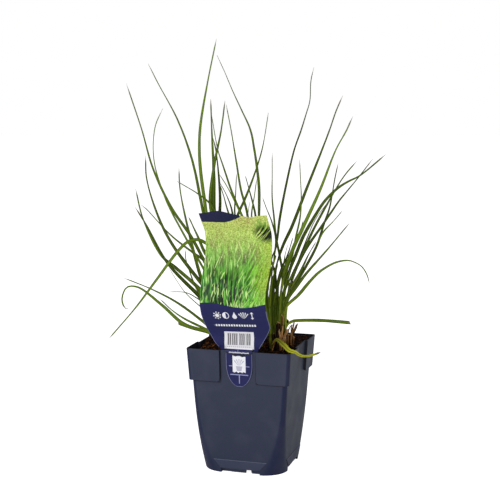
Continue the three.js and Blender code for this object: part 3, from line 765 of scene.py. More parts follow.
def stem(radius, foot, *above):
    """A stem stands straight in the mix before it leans."""
    across, away = foot
    straight = [(across, away, ROOTED_AT + rise) for rise in STRAIGHT_RISES]
    return {"radius": radius, "path": [*straight, *above]}


def leaf(width, turn, twist, *points, is_cut=False, age=0.0, thickness=0.5, root_width=0.65):
    return {
        "width": width, "turn": turn, "twist": twist, "points": points,
        "is_cut": is_cut, "age": age, "thickness": thickness, "root_width": root_width,
    }


def cut_leaf(width, turn, twist, *points):
    return leaf(width, turn, twist, *points, is_cut=True)


def tiller(stem_plan, *leaves):
    return {"stem": stem_plan, "leaves": leaves}


# %% The stems and leaves as they grow
TILLERS = {
    "tiller_low_left": tiller(
        stem(2.2, (-27, -1), (-28, 0, 160), (-32, 0, 205), (-37, 0, 240)),
        cut_leaf(3, -50, 20, (-28, -1, 128), (-45, -2, 138), (-64, 0, 143), (-78, 1, 148)),
        leaf(5, -25, 10, (-28, -1, 129), (-45, -8, 140), (-71, -13, 150), (-94, -16, 171),
             (-118, -19, 190), (-129, -20, 190), (-134, -21, 178), (-131, -22, 169), (-127, -22, 168)),
        leaf(4.2, -30, 0, (-28, -1, 130), (-47, -9, 143), (-71, -17, 157), (-83, -19, 166),
             (-95, -21, 178)),
        leaf(4.2, -30, 0, (-28, -1, 131), (-48, -4, 148), (-78, -5, 171), (-105, -7, 186),
             (-133, -9, 198)),
        leaf(4.6, -20, 10, (-28, 0, 152), (-45, -2, 180), (-56, 0, 194), (-84, 3, 232), (-98, 5, 260),
             (-110, 7, 300), (-111, 9, 324)),
        leaf(4.4, -15, 0, (-36, 0, 232), (-40, -1, 268), (-40, 0, 300), (-42, 1, 350), (-43, 2, 382)),
    ),
    "tiller_left": tiller(
        stem(2.1, (-19, 7), (-20, 9, 160), (-21, 12, 205), (-20, 16, 235)),
        leaf(4.8, -160, -20, (-19, 7, 132), (-36, 8, 156), (-57, 9, 177), (-90, 11, 212),
             (-110, 12, 249), (-123, 13, 270)),
        leaf(2, -40, 10, (-20, 8, 136), (-40, 13, 152), (-56, 17, 164), (-73, 24, 179), (-89, 28, 203)),
        leaf(5, -15, 0, (-19, 7, 138), (-36, 9, 161), (-57, 12, 184), (-80, 17, 204), (-96, 21, 217),
             (-116, 26, 256), (-124, 30, 288)),
        leaf(3.2, -30, -10, (-20, 8, 142), (-40, 11, 162), (-56, 10, 172), (-70, 8, 180),
             (-88, 7, 181)),
        leaf(3.2, -20, -20, (-20, 15, 228), (-21, 18, 263), (-27, 22, 281), (-34, 25, 294)),
    ),
    "tiller_left_front": tiller(
        stem(2.2, (-13, -4), (-17, -5, 160), (-24, -7, 205), (-31, -8, 238)),
        leaf(3.1, -20, -15, (-16, -5, 150), (-36, -9, 180), (-52, -10, 210), (-71, -12, 244),
             (-89, -16, 281), (-100, -20, 321), (-98, -23, 354), (-90, -25, 372)),
        leaf(3.2, -30, 10, (-16, -5, 152), (-40, -11, 167), (-56, -12, 184), (-65, -14, 206),
             (-69, -16, 222), (-68, -17, 229)),
        leaf(3.7, -165, -10, (-17, -5, 155), (-36, -7, 187), (-51, -5, 217), (-64, -3, 241),
             (-84, 1, 270), (-103, 6, 310), (-115, 11, 351), (-131, 18, 398)),
        leaf(4.2, -125, -70, (-22, -6, 198), (-34, -11, 225), (-48, -16, 235), (-56, -19, 239),
             (-66, -22, 237), (-75, -26, 229), (-98, -35, 199), (-117, -43, 174), (-145, -55, 142)),
        leaf(3.2, -30, 0, (-31, -8, 234), (-35, -13, 258), (-43, -16, 275), (-56, -18, 286),
             (-77, -21, 299)),
        leaf(4.2, -15, 20, (-30, -8, 230), (-43, -9, 271), (-40, -10, 310), (-32, -12, 350),
             (-28, -13, 380)),
    ),
    "tiller_back_left": tiller(
        stem(2.1, (-26, 16), (-30, 17, 160), (-36, 18, 200), (-43, 19, 235)),
        leaf(4.4, 20, 20, (-28, 17, 148), (-31, 34, 192), (-34, 55, 224), (-38, 78, 236),
             (-41, 97, 226)),
        leaf(4.4, -160, 0, (-27, 16, 140), (-38, 18, 160), (-50, 19, 182), (-55, 19, 195),
             (-67, 18, 242), (-76, 17, 288), (-77, 16, 311)),
        leaf(4, -25, -10, (-30, 17, 160), (-38, 20, 190), (-51, 24, 211), (-65, 27, 221),
             (-87, 31, 238), (-113, 38, 265), (-119, 40, 270)),
        leaf(4.6, -25, 10, (-37, 18, 203), (-50, 14, 221), (-58, 12, 240), (-67, 11, 260)),
        leaf(3.9, -25, -20, (-42, 19, 228), (-52, 19, 263), (-55, 20, 278), (-64, 25, 319),
             (-79, 32, 360), (-101, 38, 401), (-110, 40, 419)),
    ),
    "tiller_tall_left": tiller(
        stem(2.1, (-36, 4), (-38, 4, 165), (-42, 4, 205), (-45, 4, 240)),
        leaf(4.2, -15, 20, (-41, 4, 200), (-37, 6, 238), (-34, 7, 268), (-34, 8, 285), (-38, 9, 329),
             (-41, 9, 342)),
        leaf(4, -15, 15, (-44, 4, 232), (-49, 3, 270), (-54, 3, 310), (-55, 3, 330), (-54, 4, 353),
             (-46, 6, 400), (-37, 8, 443)),
    ),
    "tiller_middle_left": tiller(
        stem(2, (-5, -7), (-6, -6, 170), (-7, -6, 215), (-6, -6, 240)),
        leaf(2.8, 40, -30, (-7, -6, 210), (-14, -18, 245), (-18, -28, 267), (-17, -38, 288),
             (-16, -47, 308)),
        leaf(3.2, -30, 10, (-7, -6, 218), (-17, -8, 248), (-25, -8, 266), (-30, -9, 284),
             (-34, -9, 296)),
        leaf(2.2, 30, 20, (-6, -6, 234), (-5, -9, 262), (-3, -11, 277)),
        leaf(3.2, -25, -10, (-6, -6, 230), (-5, -5, 262), (-12, -4, 290), (-17, -3, 320),
             (-22, -2, 350), (-27, -1, 376)),
    ),
    "tiller_middle": tiller(
        stem(2.2, (2, 7), (4, 8, 175), (6, 9, 225), (7, 10, 250)),
        leaf(3.4, 20, 20, (5, 9, 210), (4, 20, 240), (3, 35, 259), (-4, 62, 286), (-8, 85, 299)),
        leaf(3.8, -20, -50, (7, 10, 240), (7, 11, 265), (7, 14, 290), (5, 18, 310), (2, 23, 330),
             (-2, 29, 350), (-11, 37, 370), (-21, 46, 391), (-30, 55, 412), (-38, 62, 429)),
    ),
    "tiller_middle_right": tiller(
        stem(2.1, (10, -7), (10, -7, 170), (9, -6, 205), (6, -5, 232)),
        leaf(3, 40, -20, (9, -6, 200), (4, -12, 235), (-1, -18, 262), (2, -28, 286), (4, -36, 302)),
        leaf(3.2, -30, 10, (8, -6, 208), (1, -11, 238), (-5, -13, 252), (-13, -14, 267),
             (-26, -16, 293), (-34, -17, 306)),
        leaf(3.6, -30, -20, (7, -5, 222), (-1, 2, 246), (-10, 7, 260), (-21, 12, 285), (-31, 16, 314),
             (-36, 18, 329), (-43, 20, 367)),
    ),
    "tiller_middle_back": tiller(
        stem(2.1, (-9, 16), (-12, 17, 165), (-17, 18, 205), (-20, 21, 232)),
        leaf(4.4, 15, 20, (-11, 17, 148), (-14, 37, 188), (-12, 60, 220), (-8, 82, 230), (-5, 99, 220)),
        leaf(3.4, 25, 20, (-20, 20, 225), (-21, 22, 243), (-16, 24, 260), (-8, 28, 278), (0, 33, 298),
             (10, 40, 329), (17, 52, 368)),
    ),
    "tiller_right_front": tiller(
        stem(2, (19, -5), (18, -5, 152), (15, -5, 175), (16, -5, 191), (24, -4, 221)),
        leaf(2.6, 45, -20, (22, -4, 214), (24, -8, 238), (20, -10, 256), (14, -12, 271),
             (10, -13, 282)),
        leaf(3, 20, 10, (22, -4, 213), (26, -3, 240), (28, -2, 258), (36, 0, 300), (43, 2, 330),
             (50, 4, 350), (55, 6, 366), (59, 8, 380), (60, 10, 400), (63, 12, 414)),
    ),
    "tiller_right_inner": tiller(
        stem(2, (19, -11), (18, -11, 149), (17, -10, 167), (15, -10, 183)),
        leaf(3.4, -30, 20, (17, -10, 165), (18, -11, 179), (19, -12, 190), (22, -13, 203),
             (24, -14, 212)),
        leaf(3.6, 20, 20, (16, -10, 180), (16, -10, 195), (17, -10, 208), (20, -9, 219), (23, -9, 228),
             (24, -9, 238)),
        leaf(3.6, -10, 0, (18, -9, 150), (15.5, -9, 172), (15, -9, 186), (17, -9, 200), (20, -9, 224)),
        leaf(3.8, 0, 0, (19, -9, 128), (19.3, -9, 150), (19.2, -9, 172), (19, -9, 190), (21, -8, 212)),
        leaf(4, 0, 0, (16, -12, 138), (16.6, -12, 150), (14.6, -12, 164), (13.4, -12, 178),
             (14, -11, 206)),
    ),
    "tiller_right_bright": tiller(
        stem(2, (19, 2), (20, 2, 141), (21, 2, 161), (23, 1, 175), (26, 1, 188)),
        leaf(3.4, -20, 10, (21, 2, 163), (22, 2, 175), (21, 2, 188), (20, 3, 200), (19, 3, 209)),
        leaf(3.8, 30, 10, (25, 1, 185), (28, 1, 198), (31, 0, 208), (36, 0, 219), (39, -1, 229),
             (42, -1, 240)),
    ),
    "tiller_right_middle": tiller(
        stem(2, (24, 3), (25, 3, 141), (24, 4, 162), (25, 4, 180)),
        leaf(3.6, -30, 10, (25, 4, 178), (24, 4, 191), (23, 4, 203), (20, 4, 212), (18, 4, 224),
             (17, 4, 233)),
        leaf(3.2, 30, 10, (24, 4, 171), (26, 5, 183), (29, 6, 195), (33, 6, 206), (36, 7, 216)),
        leaf(3.4, 10, 0, (24, 4, 133), (22.6, 6, 150), (22.4, 6, 170), (22.6, 6, 188), (24, 7, 208)),
        leaf(4.2, -10, 0, (24, 3, 130), (26, 2.2, 146), (26.3, 2.4, 166), (26.6, 2.8, 182),
             (28.6, 3.7, 202)),
    ),
    "tiller_right_inner_low": tiller(
        stem(2, (29, -4), (29, -4, 145), (29, -4, 166), (30, -3, 183)),
        leaf(3.6, 25, 10, (30, -3, 180), (32, -5, 195), (34, -6, 208), (39, -7, 220), (44, -8, 233),
             (49, -9, 246), (52, -9, 258)),
        leaf(3.2, -30, 10, (29, -3, 161), (27, -3, 174), (25, -3, 185), (24, -3, 196), (25, -3, 208)),
    ),
    "tiller_right_tall": tiller(
        stem(2.1, (22, 8), (22, 9, 160), (22, 10, 190), (26, 11, 210)),
        leaf(4.2, 30, -20, (23, 10, 200), (27, 11, 213), (32, 12, 229), (41, 14, 248), (57, 19, 289),
             (73, 25, 329), (81, 28, 350), (88, 31, 370), (95, 33, 386)),
    ),
    "tiller_right_low": tiller(
        stem(2.1, (27, -10), (28, -10, 155), (29, -10, 180), (32, -11, 200)),
        leaf(4.1, 20, 0, (28, -10, 148), (33, -12, 166), (37, -14, 178), (44, -16, 188), (54, -20, 203),
             (66, -25, 218), (78, -30, 233), (97, -38, 258)),
        leaf(2.4, 30, 20, (31, -10, 193), (33, -12, 220), (36, -13, 233)),
        leaf(4.6, 155, 0, (30, -10, 188), (32, -11, 200), (37, -12, 216), (43, -13, 232),
             (52, -15, 252), (69, -19, 291), (84, -23, 331), (94, -26, 350), (100, -28, 364)),
    ),
    "tiller_right_wide": tiller(
        stem(2.2, (31, 1), (31, 1, 150), (34, 1, 185), (37, 1, 200)),
        leaf(2.8, 30, -50, (32, 1, 160), (36, 0, 206), (41, -2, 220), (45, -4, 241), (49, -5, 261),
             (50, -6, 281), (49, -7, 301), (48, -8, 321)),
        leaf(5, 50, -60, (33, 1, 172), (39, 1, 204), (45, 1, 220), (53, 2, 240), (64, 2, 260),
             (75, 3, 277), (88, 4, 290), (99, 5, 297), (111, 6, 303), (138, 8, 325)),
        leaf(3.8, 45, -50, (34, 1, 182), (42, 0, 201), (49, -2, 216), (63, -5, 248), (78, -8, 277),
             (93, -11, 303), (106, -13, 319)),
        leaf(3.6, -20, 10, (31, 1, 132), (30, -1, 150), (30, -1, 168), (33, 0, 186), (39, 0, 206)),
        leaf(3.4, 20, 0, (31, 1, 134), (33, 0, 152), (34, 0, 168), (37, 0, 182), (42, 0, 196)),
    ),
    "tiller_right_back": tiller(
        stem(2.1, (34, 11), (35, 12, 155), (39, 13, 190)),
        leaf(3.8, 145, 0, (37, 13, 172), (44, 15, 199), (54, 19, 220), (63, 23, 234), (72, 28, 246),
             (82, 32, 260), (92, 36, 274), (103, 40, 287), (114, 43, 300), (129, 47, 319)),
        leaf(3.8, 25, 10, (38, 13, 180), (51, 15, 202), (59, 16, 219), (67, 17, 233)),
        leaf(2.8, 30, 30, (38, 13, 178), (46, 14, 205), (58, 12, 239), (66, 12, 257), (80, 12, 277)),
    ),
    "tiller_far_right": tiller(
        stem(2.1, (26, 19), (28, 20, 150), (31, 22, 182)),
        leaf(4.2, 35, -15, (29, 21, 162), (45, 28, 184), (53, 34, 196), (62, 40, 211), (70, 46, 226),
             (78, 54, 249), (84, 60, 265), (90, 68, 296), (94, 72, 314)),
        leaf(3.1, 25, 0, (55, 35, 199), (66, 44, 219), (76, 50, 239), (88, 56, 251), (98, 61, 262)),
        leaf(3, -20, -10, (30, 21, 172), (32, 22, 197), (29, 24, 217), (25, 27, 237), (23, 31, 257),
             (21, 35, 278), (21, 39, 303), (21, 43, 326)),
    ),
    "tiller_right_arching": tiller(
        stem(2, (34, -14), (34, -14, 140), (34.5, -14, 165)),
        cut_leaf(3.8, 20, -10, (34.5, -14, 144), (37, -15, 151), (42, -16, 154), (49, -18, 155),
                 (64, -19, 155.4), (80, -21, 155), (100, -25, 154)),
        leaf(4.4, 15, 30, (33, -14, 158), (36, -15, 170), (47, -17, 181), (58, -20, 195),
             (68, -23, 206), (78, -25, 213), (86, -27, 217), (97, -30, 219), (104, -32, 217),
             (110, -34, 213.5), (115, -36, 206), (118, -37, 196)),
    ),
    "tiller_over_rim": tiller(
        stem(1.7, (20, -17), (21, -18, 134)),
        leaf(6.6, 110, 60, (20, -17, 129), (24, -26, 136.4), (31, -48, 135.6), (37, -64, 133),
             (42, -67, 132.4), (47, -67, 129), (56, -64, 128), (68, -60, 131), root_width=0.3),
    ),
    "tiller_back": tiller(
        stem(2.1, (6, 25), (7, 27, 160), (8, 30, 195)),
        leaf(4.2, 20, 20, (7, 26, 148), (10, 44, 183), (14, 62, 203), (17, 79, 204), (19, 93, 193)),
        leaf(4, -15, -20, (8, 29, 180), (4, 44, 212), (-2, 60, 234), (-8, 78, 246), (-12, 92, 244)),
        leaf(3.4, 30, 20, (8, 30, 188), (11, 35, 220), (11, 44, 246)),
    ),
    "tiller_far_back": tiller(
        stem(2, (-16, 28), (-18, 30, 160), (-22, 34, 196)),
        leaf(4, 10, 20, (-17, 29, 146), (-24, 48, 180), (-29, 66, 196), (-33, 84, 188)),
        leaf(3.4, -30, -20, (-21, 33, 185), (-26, 40, 222), (-30, 50, 246)),
    ),
}
print("stems planned:", len(TILLERS))

# %% Growing them


def grow_tiller(name, plan):
    """Stem and leaves of one tiller, joined into one piece."""
    draw = random.Random(name)
    collars = [leaf_plan["points"][0][2] for leaf_plan in plan["leaves"]]
    parts = [roll_stem(plan["stem"], collars, draw)]
    give_material(parts[0], living_blade)
    for leaf_plan in plan["leaves"]:
        blade = bend_leaf(leaf_plan, draw)
        give_material(blade, yellowing_blade if name == "tiller_over_rim" else living_blade)
        parts.append(blade)
    grown = join_as("grown_" + name, parts)
    bpy.ops.object.shade_smooth_by_angle(angle=math.radians(50))
    return grown


for name, plan in TILLERS.items():
    grown = grow_tiller(name, plan)
    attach(grown, "root")
    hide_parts(name)
leaf_count = sum(len(plan["leaves"]) for plan in TILLERS.values())
print("leafy stems:", len(TILLERS), "with", leaf_count, "leaves")

# %% [markdown]
# ## Last year's stalks and dead sheaths
# Two old crowns were cut back to stubs, and papery brown sheaths stand and curl about their feet.
# A solid rod would do for a stub, but its cut end shows a hole. So it is rolled as a stem is,
# its top is left open and cut at a slant, and Solidify gives it a wall. A dead sheath is a leaf
# without a point, so it is bent from the same strip. The widest ones are listed one by one, and the
# narrow shreds between them lean out of each crown by a seeded chance.

# %% Stubs and sheaths of the two crowns
STALK_RADIUS = 0.95
CROWN_SPREAD = 1.3  # how far from the middle of its crown a stub is rooted
SHREDS = 12  # about each crown


def sheath(width, age, *points):
    return leaf(width, -30, 40, *points, is_cut=True, age=age, thickness=0.4)


STUBBLES = {
    "straw_stubble_right": {
        "crown": (39, -3),
        "stalks": [(40.5, -6, 148), (43.2, -3, 150), (46.5, -3, 148.5), (37, -5, 140), (41, 2, 138)],
        "sheaths": [
            sheath(3.6, 1.0, (31, -9, 124), (32, -9, 141), (34.5, -9, 149), (36.5, -8, 154.5)),
            sheath(1.5, 0.0, (36.5, -9, 121), (37, -9, 131), (37.2, -8, 139)),
            sheath(1.6, 0.1, (40, -8, 121), (40, -8, 131), (40.3, -7, 140)),
            sheath(1.8, 0.7, (38.5, -8, 121), (38.6, -8, 131), (38.7, -7, 138)),
            sheath(1.6, 0.5, (42.5, -5, 121), (42.5, -5, 131), (42, -4, 137)),
            sheath(0.8, 0.7, (37, -7, 126), (37.3, -7, 139.5), (38.6, -7, 145.5), (40, -7, 148),
                   (41.6, -7, 147.6)),
            sheath(0.8, 0.8, (39.5, -6, 126), (40, -6, 140), (42.4, -6, 145.5), (43.3, -6, 150),
                   (42.6, -6, 151.4)),
            sheath(0.7, 0.5, (41, -5, 126), (42.5, -5, 140), (43.8, -5, 144), (46, -5, 147),
                   (46.8, -5, 149.5)),
            sheath(0.8, 0.6, (42, -4, 126), (43, -4, 138), (45.2, -4, 143), (46.6, -4, 146.4)),
        ],
    },
    "straw_stubble_front": {
        "crown": (29, -21),
        "stalks": [(27, -22, 146), (31, -21, 149), (36.5, -22, 147), (33, -26, 139)],
        "sheaths": [
            sheath(1.7, 0.0, (21, -19, 130), (25.4, -19, 136), (30.7, -18, 138.5)),
            sheath(3.4, 1.0, (25, -18, 121), (26, -18, 135), (26.5, -17, 146), (27, -16, 153)),
            sheath(2.8, 0.9, (29, -18, 121), (29, -18, 135), (29, -17, 143)),
            sheath(1.3, 0.1, (30, -19, 124), (30.6, -19, 140), (31, -18, 149)),
            sheath(1.0, 0.0, (22.5, -22, 133), (21, -22, 127), (19.4, -22, 120)),
            sheath(1.5, 0.0, (33.5, -20, 120), (34, -20, 127), (34.3, -19, 137)),
            sheath(1.4, 0.2, (31, -25, 120), (32, -25, 127), (34, -25, 131), (36, -24, 130)),
            sheath(2.6, 0.9, (22, -15, 122), (21.5, -15, 131), (22, -14, 141)),
            sheath(1.6, 0.6, (26, -24, 119), (27, -24, 126), (29, -24, 131)),
            sheath(2.2, 0.9, (25, -15, 122), (25, -15, 138), (25.5, -14, 152)),
            sheath(1.8, 0.7, (29, -15, 122), (29.5, -15, 142), (30.5, -14, 160)),
            sheath(1.2, 0.1, (31, -15, 126), (31.5, -15, 146), (32.5, -14, 163)),
        ],
    },
}

# %% Rolling a stub, and fraying a crown
STALK_SIDES = 10
STALK_ROW = 2.5  # length of stub between two rows
STALK_TAPER = (1.1, 0.85)
STALK_WALL = 0.35
STALK_SLANT = 1.1  # of its cut top


def roll_stalk(points, draw):
    """One hollow stub, open at its slanting top."""
    curve = SmoothCurve(points)
    tone = draw.uniform(0.4, 1.1)
    browning = draw.uniform(0, 0.5)

    def radius_at(share):
        return STALK_RADIUS * mix(*STALK_TAPER, share)

    def colours_at(share, height, angle):
        return tone, browning * (1 - share) + 0.2 * math.cos(angle), blend_step(0.85, 1, share)

    rows = round(curve.length / STALK_ROW)
    stalk = roll_tube(
        curve, radius_at, STALK_SIDES, rows, colours_at, cap=False, slant=STALK_SLANT,
    )
    apply_modifier(stalk, "SOLIDIFY", thickness=STALK_WALL * MM, offset=-1)
    return stalk


def fray(across, away, draw):
    """One narrow shred that leans out of a crown."""
    turn = draw.uniform(0, 2 * math.pi)
    lean = Vector((math.cos(turn), math.sin(turn)))
    foot = Vector((across, away)) + lean * draw.uniform(0.5, 3)
    tip = foot + lean * draw.uniform(1, 5)
    top = draw.uniform(131, 141)
    places = [(*foot, 119), (*(foot + lean * 0.6), 126), (*tip, top)]
    return sheath(draw.uniform(0.7, 1.5), draw.choice((0.0, 0.2, 0.6, 0.9)), *places)


# %% Growing both crowns


def grow_stubble(name, plan):
    """Stubs, sheaths and shreds of one crown, joined into one piece."""
    draw = random.Random(name)
    across, away = plan["crown"]
    plan["sheaths"] += [fray(across, away, draw) for number in range(SHREDS)]
    parts = []
    for index, tip in enumerate(plan["stalks"]):
        spread = index / len(plan["stalks"]) * 2 * math.pi
        foot = (across + CROWN_SPREAD * math.cos(spread), away + CROWN_SPREAD * math.sin(spread))
        path = [(*foot, ROOTED_AT), (*foot, ROOTED_AT + STRAIGHT_RISES[-1]), tip]
        parts.append(roll_stalk(path, draw))
    parts += [bend_leaf(one, draw, rows_per_mm=0.6) for one in plan["sheaths"]]
    return join_as("dry_" + name, parts)


for name, plan in STUBBLES.items():
    stubble = grow_stubble(name, plan)
    give_material(stubble, dead_straw)
    bpy.ops.object.shade_smooth_by_angle(angle=math.radians(50))
    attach(stubble, "root")
    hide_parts(name)
print("stubs:", sum(len(plan["stalks"]) for plan in STUBBLES.values()))

# %% [markdown]
# ## Potting mix
# The mix is dark damp peat with bark and fibres in it. Its surface is uneven, so a grid is added,
# fitted to the inside of the walls and raised by a height formula with noise on top. Its outer
# edges are then extruded down along the walls and closed at the bottom.

# %% The room inside the walls
POT_HEIGHT = 130
RIM_HALF = 55
BAND_HEIGHT = 33
BAND_STEP = 2.5
BASE_HALF = 44
WALL = 1.2
FLOOR_UNDER = 5
RECESS_WIDTH = 38
CORNER_RADIUS = 5.5
CORNERS_OPEN_AT = 75
FOOT_CORNER_EXTRA = 19
GAP = 0.35


def wall_half_at(height):
    return mix(BASE_HALF, RIM_HALF - BAND_STEP, height / POT_HEIGHT)


def corner_radius_at(height):
    """The corners are tight along the walls and open into wide curves at the foot."""
    below = max(0, 1 - height / CORNERS_OPEN_AT)
    return CORNER_RADIUS + FOOT_CORNER_EXTRA * below * below


def round_the_corner(x, y, half, radius):
    """Draws a point of a square in, so that the square gets rounded corners."""
    centre = half - radius
    over_x = abs(x) - centre
    over_y = abs(y) - centre
    if over_x <= 0 or over_y <= 0:
        return x, y
    shrink = max(over_x, over_y) / math.hypot(over_x, over_y)
    return math.copysign(centre + over_x * shrink, x), math.copysign(centre + over_y * shrink, y)


# %% Height of the mix
SOIL_FRONT = 123.6
SOIL_RISE = 4.4
MOUND_HEIGHT = 5.6
LABEL_MIDDLE = 1.5
LABEL_SLOT = 2.9  # the label's tail lies this far behind the face of the front wall
LABEL_SLOT_HALF = 19


def soil_height(x, y):
    """Low along the front, higher behind the clump and lumpy all over."""
    rise = SOIL_RISE * blend_step(-22, 24, y)
    broad = 0.8 * math.sin(x * 0.31 + 1.3) * math.cos(y * 0.37)
    return SOIL_FRONT + rise + broad + 0.5 * math.sin(x * 0.73 - y * 0.59)


def left_mound(x, y):
    """The mix is heaped against the left wall, a little above the rim."""
    along_wall = blend_step(-34, 6, y) * (1 - blend_step(38, 52, y))
    return MOUND_HEIGHT * along_wall * math.exp(-((x + 45) / 9) ** 2)


def soil_top(x, y):
    here = Vector((x, y, 0))
    coarse = 1.1 * noise.noise(here * 0.28) + 0.7 * noise.noise(here * 0.7)
    crumbs = coarse + 0.4 * noise.noise(here * 1.6)
    return soil_height(x, y) + left_mound(x, y) + crumbs


def reach_beside(along_wall, label_side):
    """How far the mix reaches towards a wall: further where the rim's bands leave room."""
    at_wall = wall_half_at(SOIL_FRONT) - WALL - GAP
    if label_side and abs(along_wall - LABEL_MIDDLE) < LABEL_SLOT_HALF:
        return wall_half_at(SOIL_FRONT) - LABEL_SLOT
    past_recess = abs(along_wall) - RECESS_WIDTH / 2
    return at_wall + BAND_STEP * blend_step(1.8, 3, past_recess)


print("mix at the front:", round(soil_top(0, -45), 1), "mm, behind:", round(soil_top(0, 40), 1), "mm")

# %% Surface of the mix
SOIL_CELLS = 110
SOIL_CORNER = 2.6
SOIL_LEVELS = (112, 100, 75, 45, 20, FLOOR_UNDER + WALL + GAP)
surface = add_strip(SOIL_CELLS, SOIL_CELLS)
square = [vertex.co.copy() for vertex in surface.data.vertices]
write_attribute(surface, "square_x", [corner.x for corner in square])
write_attribute(surface, "square_y", [corner.y for corner in square])
for vertex, corner in zip(surface.data.vertices, square):
    plain = wall_half_at(SOIL_FRONT) - WALL - GAP
    x = corner.x * reach_beside(corner.y * plain, False)
    y = corner.y * reach_beside(corner.x * plain, corner.y < 0)
    x, y = round_the_corner(x, y, plain + BAND_STEP, SOIL_CORNER)
    vertex.co = Vector((x, y, soil_top(x, y))) * MM
print("mix surface:", len(surface.data.polygons), "faces")

# %% Its sides and bottom
open_for_edit(surface, "EDGE", lambda edge: False)
bpy.ops.mesh.select_non_manifold()
for height in SOIL_LEVELS:
    bpy.ops.mesh.extrude_region_move()
    close_edit()
    half = wall_half_at(height) - WALL - GAP
    radius = corner_radius_at(height)
    square_x = surface.data.attributes["square_x"].data
    square_y = surface.data.attributes["square_y"].data
    for vertex in surface.data.vertices:
        if vertex.select:
            x = square_x[vertex.index].value * half
            y = square_y[vertex.index].value * half
            x, y = round_the_corner(x, y, half, radius)
            if abs(x - LABEL_MIDDLE) < LABEL_SLOT_HALF:
                y = max(y, LABEL_SLOT - wall_half_at(height))
            vertex.co = Vector((x, y, height)) * MM
    bpy.ops.object.mode_set(mode="EDIT")
bpy.ops.mesh.edge_face_add()
close_edit()
tidy_normals(surface)
surface.name = "potting_mix_surface"
print("mix with sides:", len(surface.data.polygons), "faces")

# %% [markdown]
# ### Bark chips and fibres
# Between the crumbs lie small chips of bark and short fibres. Particles could scatter them, but
# real meshes stay as they are in every program. They are hundreds, so each kind is modelled once
# with a few faces, and copies are turned, sized and pressed into the surface.

# %% One chip and one fibre
CHIP_SIZE = Vector((0.5, 0.26, 0.12))
bpy.ops.object.select_all(action="DESELECT")
bpy.ops.mesh.primitive_ico_sphere_add(subdivisions=1, radius=1)
chip = bpy.context.object
for vertex in chip.data.vertices:
    rough = 1 + 0.45 * noise.noise(vertex.co * 1.7)
    vertex.co = vertex.co * CHIP_SIZE * rough * MM

fibre = roll_tube(
    SmoothCurve([(-0.5, 0, 0), (-0.2, 0.06, 0.05), (0.15, -0.05, 0.06), (0.5, 0.03, 0)]),
    lambda share: 0.022, 5, 8, lambda share, height, angle: (0, 0, 0),
)
print("chip:", len(chip.data.polygons), "faces, fibre:", len(fibre.data.polygons), "faces")

# %% Scattering them over the mix
CHIPS = 1700
CHIP_LENGTHS = (1.2, 6, 2)  # shortest, longest and usual
FIBRES = 170
FIBRE_LENGTHS = (4, 9, 6)
SCATTER_X = (-49, 49)
SCATTER_Y = (-47, 49)


def scatter(model, count, lengths, draw, raised, steepest):
    """Copies of one small piece, turned and sized by chance and laid on the mix."""
    copies = []
    for number in range(count):
        x = draw.uniform(*SCATTER_X)
        y = draw.uniform(*SCATTER_Y)
        length = draw.triangular(*lengths)
        copy = copy_of(model)
        turn = Matrix.Rotation(draw.uniform(0, 2 * math.pi), 4, "Z")
        tilt = Matrix.Rotation(draw.uniform(-steepest, steepest), 4, "Y")
        roll = Matrix.Rotation(draw.uniform(-0.5, 0.5), 4, "X")
        breadth = length * draw.uniform(0.6, 1.3)
        size = Matrix.Diagonal((length, breadth, length * draw.uniform(0.6, 1.3), 1))
        place = Matrix.Translation(Vector((x, y, soil_top(x, y) + raised)) * MM)
        copy.data.transform(place @ turn @ tilt @ roll @ size)
        shade = draw.random()
        for kind in ("tone", "age", "dry"):
            if kind in copy.data.attributes:
                copy.data.attributes.remove(copy.data.attributes[kind])
        write_attribute(copy, "tone", shade)
        copies.append(copy)
    return copies


write_attribute(surface, "tone", 0.0)
draw = random.Random("mix")
bits = scatter(chip, CHIPS, CHIP_LENGTHS, draw, raised=0.2, steepest=0.7)
bits += scatter(fibre, FIBRES, FIBRE_LENGTHS, draw, raised=0.6, steepest=0.25)
mix_piece = join_as("potting_mix", [surface, *bits])
for model in (chip, fibre):
    bpy.data.objects.remove(model)
print("potting mix:", len(mix_piece.data.polygons), "faces")

# %% Mix finish
damp_mix, w, shader = new_material("damp_mix")
ground = w.group(mottle, Patch_size_mm=7.0, Grain_size_mm=0.7)
tone = w.attribute("tone")
peat = w.blend(srgb(7, 3, 2), srgb(62, 32, 14), w.scale(ground["Grain"], 0.46, 0.74, 0.0, 1.0))
peat = w.blend(peat, srgb(60, 27, 12), w.scale(ground["Patches"], 0.58, 0.8, 0.0, 0.5))
bark = w.blend(srgb(10, 4, 2), srgb(134, 76, 34), w.math("POWER", tone, 2.4))
bark = w.blend(bark, srgb(150, 100, 58), w.scale(tone, 0.95, 0.98, 0.0, 1.0))
bark = w.blend(bark, srgb(12, 5, 4), w.scale(ground["Grain"], 0.5, 0.62, 0.0, 0.6))
w.put(shader["Base Color"], w.blend(peat, bark, w.more(tone, 0.001)))
w.put(shader["Roughness"], w.scale(ground["Grain"], 0.3, 0.7, 0.95, 0.75))
w.put(shader["Normal"], w.bump(ground["Grain"], 0.7, 0.6))
shader["Specular IOR Level"].default_value = 0.12
give_material(mix_piece, damp_mix)
bpy.ops.object.shade_smooth_by_angle(angle=math.radians(40))
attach(mix_piece, "root")
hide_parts("soil")
print("mix finish: damp_mix")

# %% [markdown]
# ## Pot
# The pot is one thin moulding: a tapered square with wide round corners at its foot, four bands
# that stand proud at the corners of its rim, and feet with drain notches between them. The body
# grows from a filled circle that is extruded ring by ring, each ring set to a rounded square.
# Bands, room, arches and notches are joined and cut with Boolean modifiers, as solids in a
# workshop. A thin skirt closes each arch a little behind its wall. A Bevel modifier breaks all
# the edges at the end.

# %% Forms made of rings, and blocks
RIM_CORNER = 4
BAND_CORNER = 4
ARCH_WIDTH = 41


